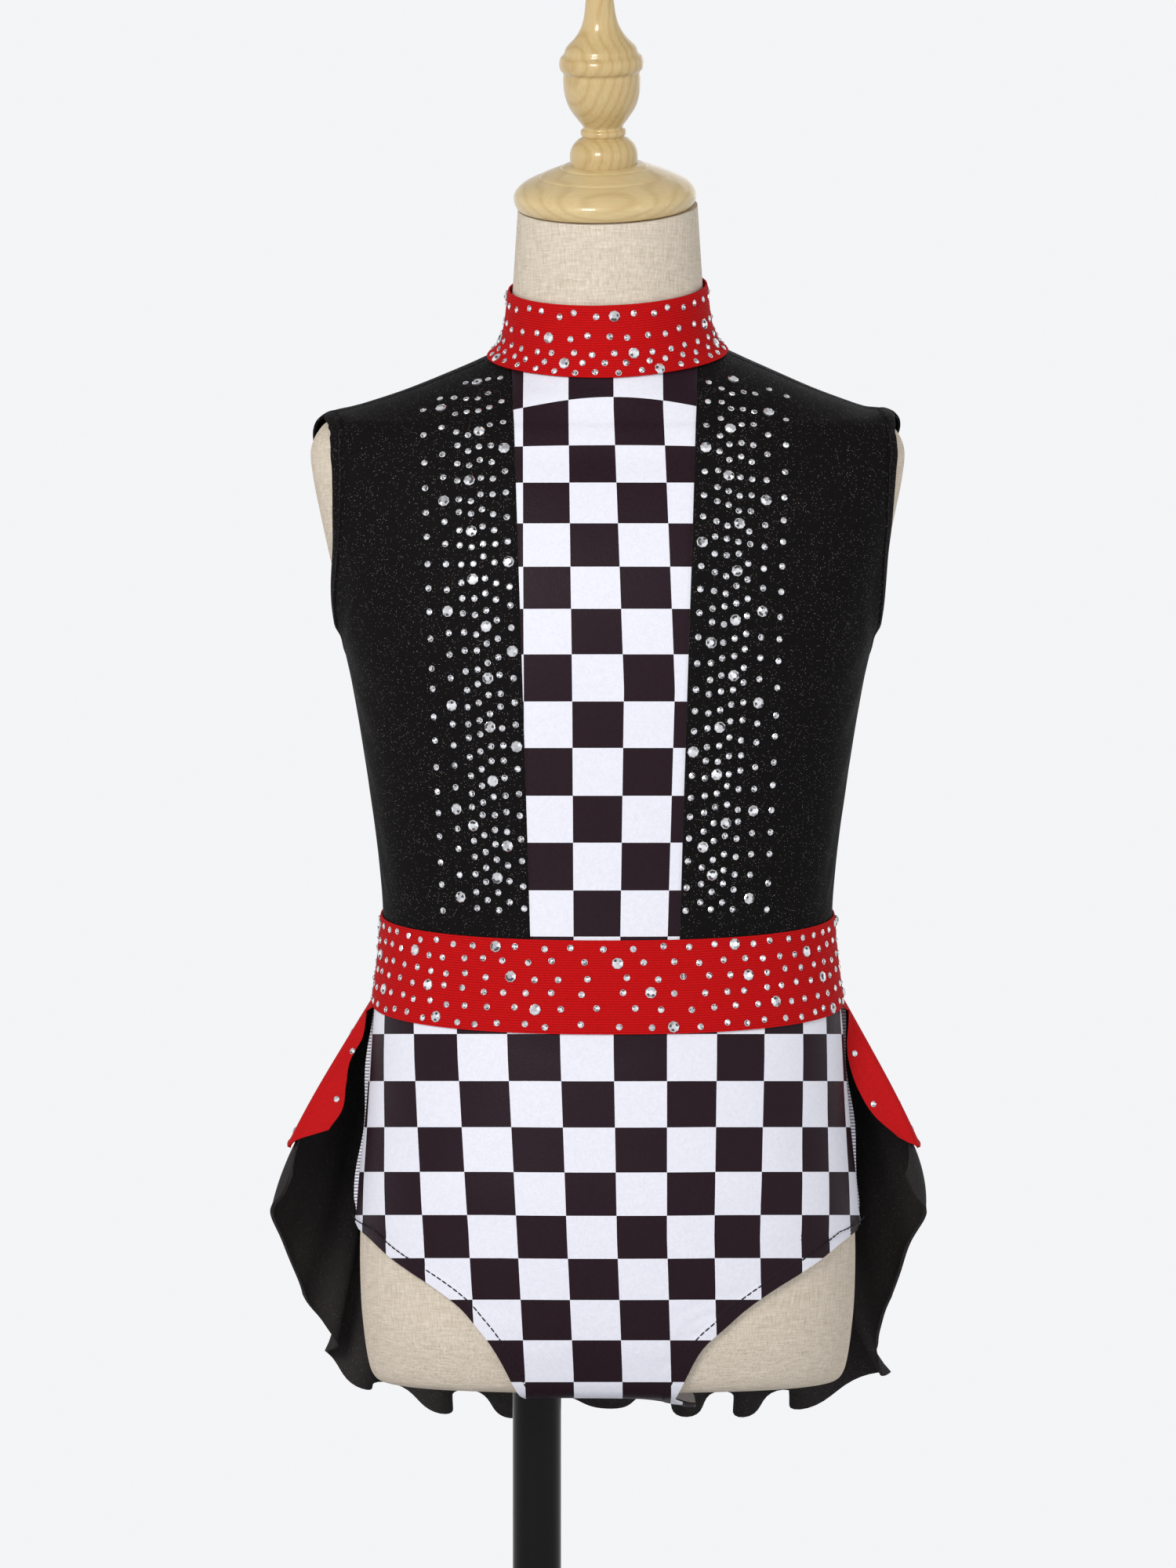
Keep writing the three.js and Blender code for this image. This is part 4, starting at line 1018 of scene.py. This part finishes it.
def spread(spots, least):
    """Moves spots that lie closer than least apart, each by part of what is missing, ten times."""
    for _ in range(10):
        gap = spots[:, None] - spots[None]
        far = np.linalg.norm(gap, axis=-1) + 1e3 * np.eye(len(spots))
        push = np.clip(least - far, 0, None) * 0.4
        spots = spots + (gap / far[..., None] * push[..., None]).sum(1)
    return spots


def bodice_band(side, seed):
    """The spots of one band: seven columns between its outer line and the panel's seam, each
    with its own spacing, staggered and a little uneven, and every so often a larger stone."""
    rng = np.random.default_rng(seed)
    spots = []
    for column, (share, pitch) in enumerate(
            ((0.0, 12.6), (0.22, 11.4), (0.41, 8.8), (0.54, 8.4), (0.67, 8.4), (0.8, 8.8), (0.97, 11.8))):
        height = 248 + (column % 2) * pitch / 2
        while height < 511 + 13 * share ** 0.6:
            spots.append(((1 - share) * 42, height + rng.uniform(-1.2, 1.2)))
            height += pitch * rng.uniform(0.9, 1.1)
    spots = spread(np.array(spots), 6.1)
    width = np.full(len(spots), SMALL)
    for k, height in enumerate(np.arange(253, 522, 12.6)):
        across = (33, 16, 3, 19)[k % 4] + rng.uniform(-3, 3)
        width[np.argmin((spots[:, 0] - across) ** 2 + (spots[:, 1] - height) ** 2)] = LARGE
    inner = 39.8 + 0.046 * (spots[:, 1] - 260)
    return side * (inner + spots[:, 0]) + PANEL_MIDDLE, spots[:, 1], width


for side, name, seed in ((-1, "stones_front_left", 3), (1, "stones_front_right", 8)):
    x, height, width = bodice_band(side, seed)
    spots, normals = on_bodice(x, height)
    piece = stones(name, spots, normals, width, seed)


def band_stones(name, surface, length, levels, pitch, seed):
    """Stones in staggered rows on a band: surface gives the point, levels are shares of the
    band's width, and pitch is the step along it."""
    rng = np.random.default_rng(seed)
    count = int(length / pitch)
    u, v, width = [], [], []
    for k, level in enumerate(levels):
        start = (0.5 if k % 2 else 0.0) + rng.uniform(-0.15, 0.15)
        u.extend((np.arange(count) + 0.5 + start + rng.uniform(-0.14, 0.14, count)) / (count + 0.8))
        v.extend(level + rng.uniform(-0.02, 0.02, count))
        big = np.arange(count) % 9 == (k * 4) % 9
        width.extend(np.where(big, LARGE, SMALL))
    u, v, width = np.array(u), np.array(v), np.array(width)
    out = BAND + 0 * u
    spots = surface(u, v, out)
    du, dv = surface(u + 0.001, v, out), surface(u, v + 0.01, out)
    normal = np.cross(du - spots, dv - spots)
    normal /= np.linalg.norm(normal, axis=1, keepdims=True)
    return stones(name, spots, normal, width, seed)


piece = band_stones("stones_collar", collar_point, 360, (0.13, 0.34, 0.54, 0.74, 0.92), 10.6, 5)
piece = band_stones("stones_belt", belt_point, 660, (0.07, 0.24, 0.42, 0.58, 0.76, 0.92), 11.4, 6)


def red_stones(seed):
    """Small stones scattered over the red tier about 40 mm apart, and two on each folded end."""
    rng = np.random.default_rng(seed)
    u, share = [], []
    for k, level in enumerate((0.2, 0.46, 0.7, 0.9)):
        count = (9, 12, 14, 16)[k]
        u.extend((np.arange(count) + 0.5 + rng.uniform(-0.25, 0.25, count)) / count)
        share.extend(level + rng.uniform(-0.05, 0.05, count))
    u, share = np.array(u), np.array(share)
    grids = [lambda a, b: tail_point(RED_TIER, a, b, 1.0 + 0 * a)]
    places = [(u, share)]
    for end in (0, 1):
        grids.append(lambda a, b, end=end: red_flap(end, a, b, 1.0 + 0 * a))
        places.append((np.array([0.8, 0.86]), np.array([0.36, 0.74])))
    spots, normals = [], []
    for surface, (a, b) in zip(grids, places):
        here = surface(a, b)
        n = np.cross(surface(a + 0.004, b) - here, surface(a, b - 0.01) - here)
        n /= np.linalg.norm(n, axis=1, keepdims=True)
        spots.append(here)
        normals.append(n)
    for flap in (1, 2):
        normals[flap] = -normals[flap] if (normals[flap][:, 1] > 0).all() else normals[flap]
    spots, normals = np.concatenate(spots), np.concatenate(normals)
    return stones("stones_tail", spots, normals, np.full(len(spots), SMALL), seed)


piece = red_stones(7)


# Studio: a pale floor, pale surroundings, a large soft key from the upper left in front, a weak
# fill from the right and a light from behind that rims the shoulders.
def lamp(name, place, aim, size, power, tint):
    """A square area light at place, turned so that its face looks at aim."""
    light = bpy.data.lights.new(name, "AREA")
    light.shape = "SQUARE"
    light.size = size
    light.energy = power
    light.color = tint
    holder = bpy.data.objects.new(name, light)
    holder.location = place
    holder.rotation_euler = (Vector(place) - Vector(aim)).to_track_quat("Z", "Y").to_euler()
    bpy.context.scene.collection.objects.link(holder)


lamp("key", (-1.0, -2.7, 1.8), (0.03, 0, 0.7), 0.8, 49, (1, 0.985, 0.97))
lamp("fill", (2.2, -2.0, 1.0), (0.03, 0, 0.7), 1.6, 5, (0.95, 0.97, 1))
lamp("rim", (0.9, 2.2, 1.9), (0.03, 0, 0.8), 1.6, 5, (1, 1, 1))

turn = np.linspace(0, TURN, 96, endpoint=False)
disc = bpy.data.meshes.new("floor")
disc.from_pydata([(1.6 * math.cos(a), 1.6 * math.sin(a), 0) for a in turn], [], [list(range(96))])
floor = bpy.data.objects.new("floor", disc)
bpy.context.scene.collection.objects.link(floor)
paper = Finish("floor_paper", Roughness=0.8)
paper.wear(Base_Color=paper.mix(paper.noise(paper.place(), 6, 3), colour(222, 223, 228), colour(230, 231, 235)))
disc.materials.append(paper.material)

world = bpy.data.worlds.new("pale_room")
bpy.context.scene.world = world
room = Finish("pale_room", room=world, Strength=1.0)
height = room.axis(room.node("ShaderNodeTexCoord", output="Generated"), "Z")
above = room.node("ShaderNodeMapRange", {"interpolation_type": "SMOOTHSTEP"}, {
    "Value": height, "From Min": 0.2, "From Max": 0.6})
room.wear(Color=room.mix(above, (0.905, 0.91, 0.93, 1), (0.42, 0.42, 0.43, 1)))
bpy.context.scene.view_settings.view_transform = "Standard"
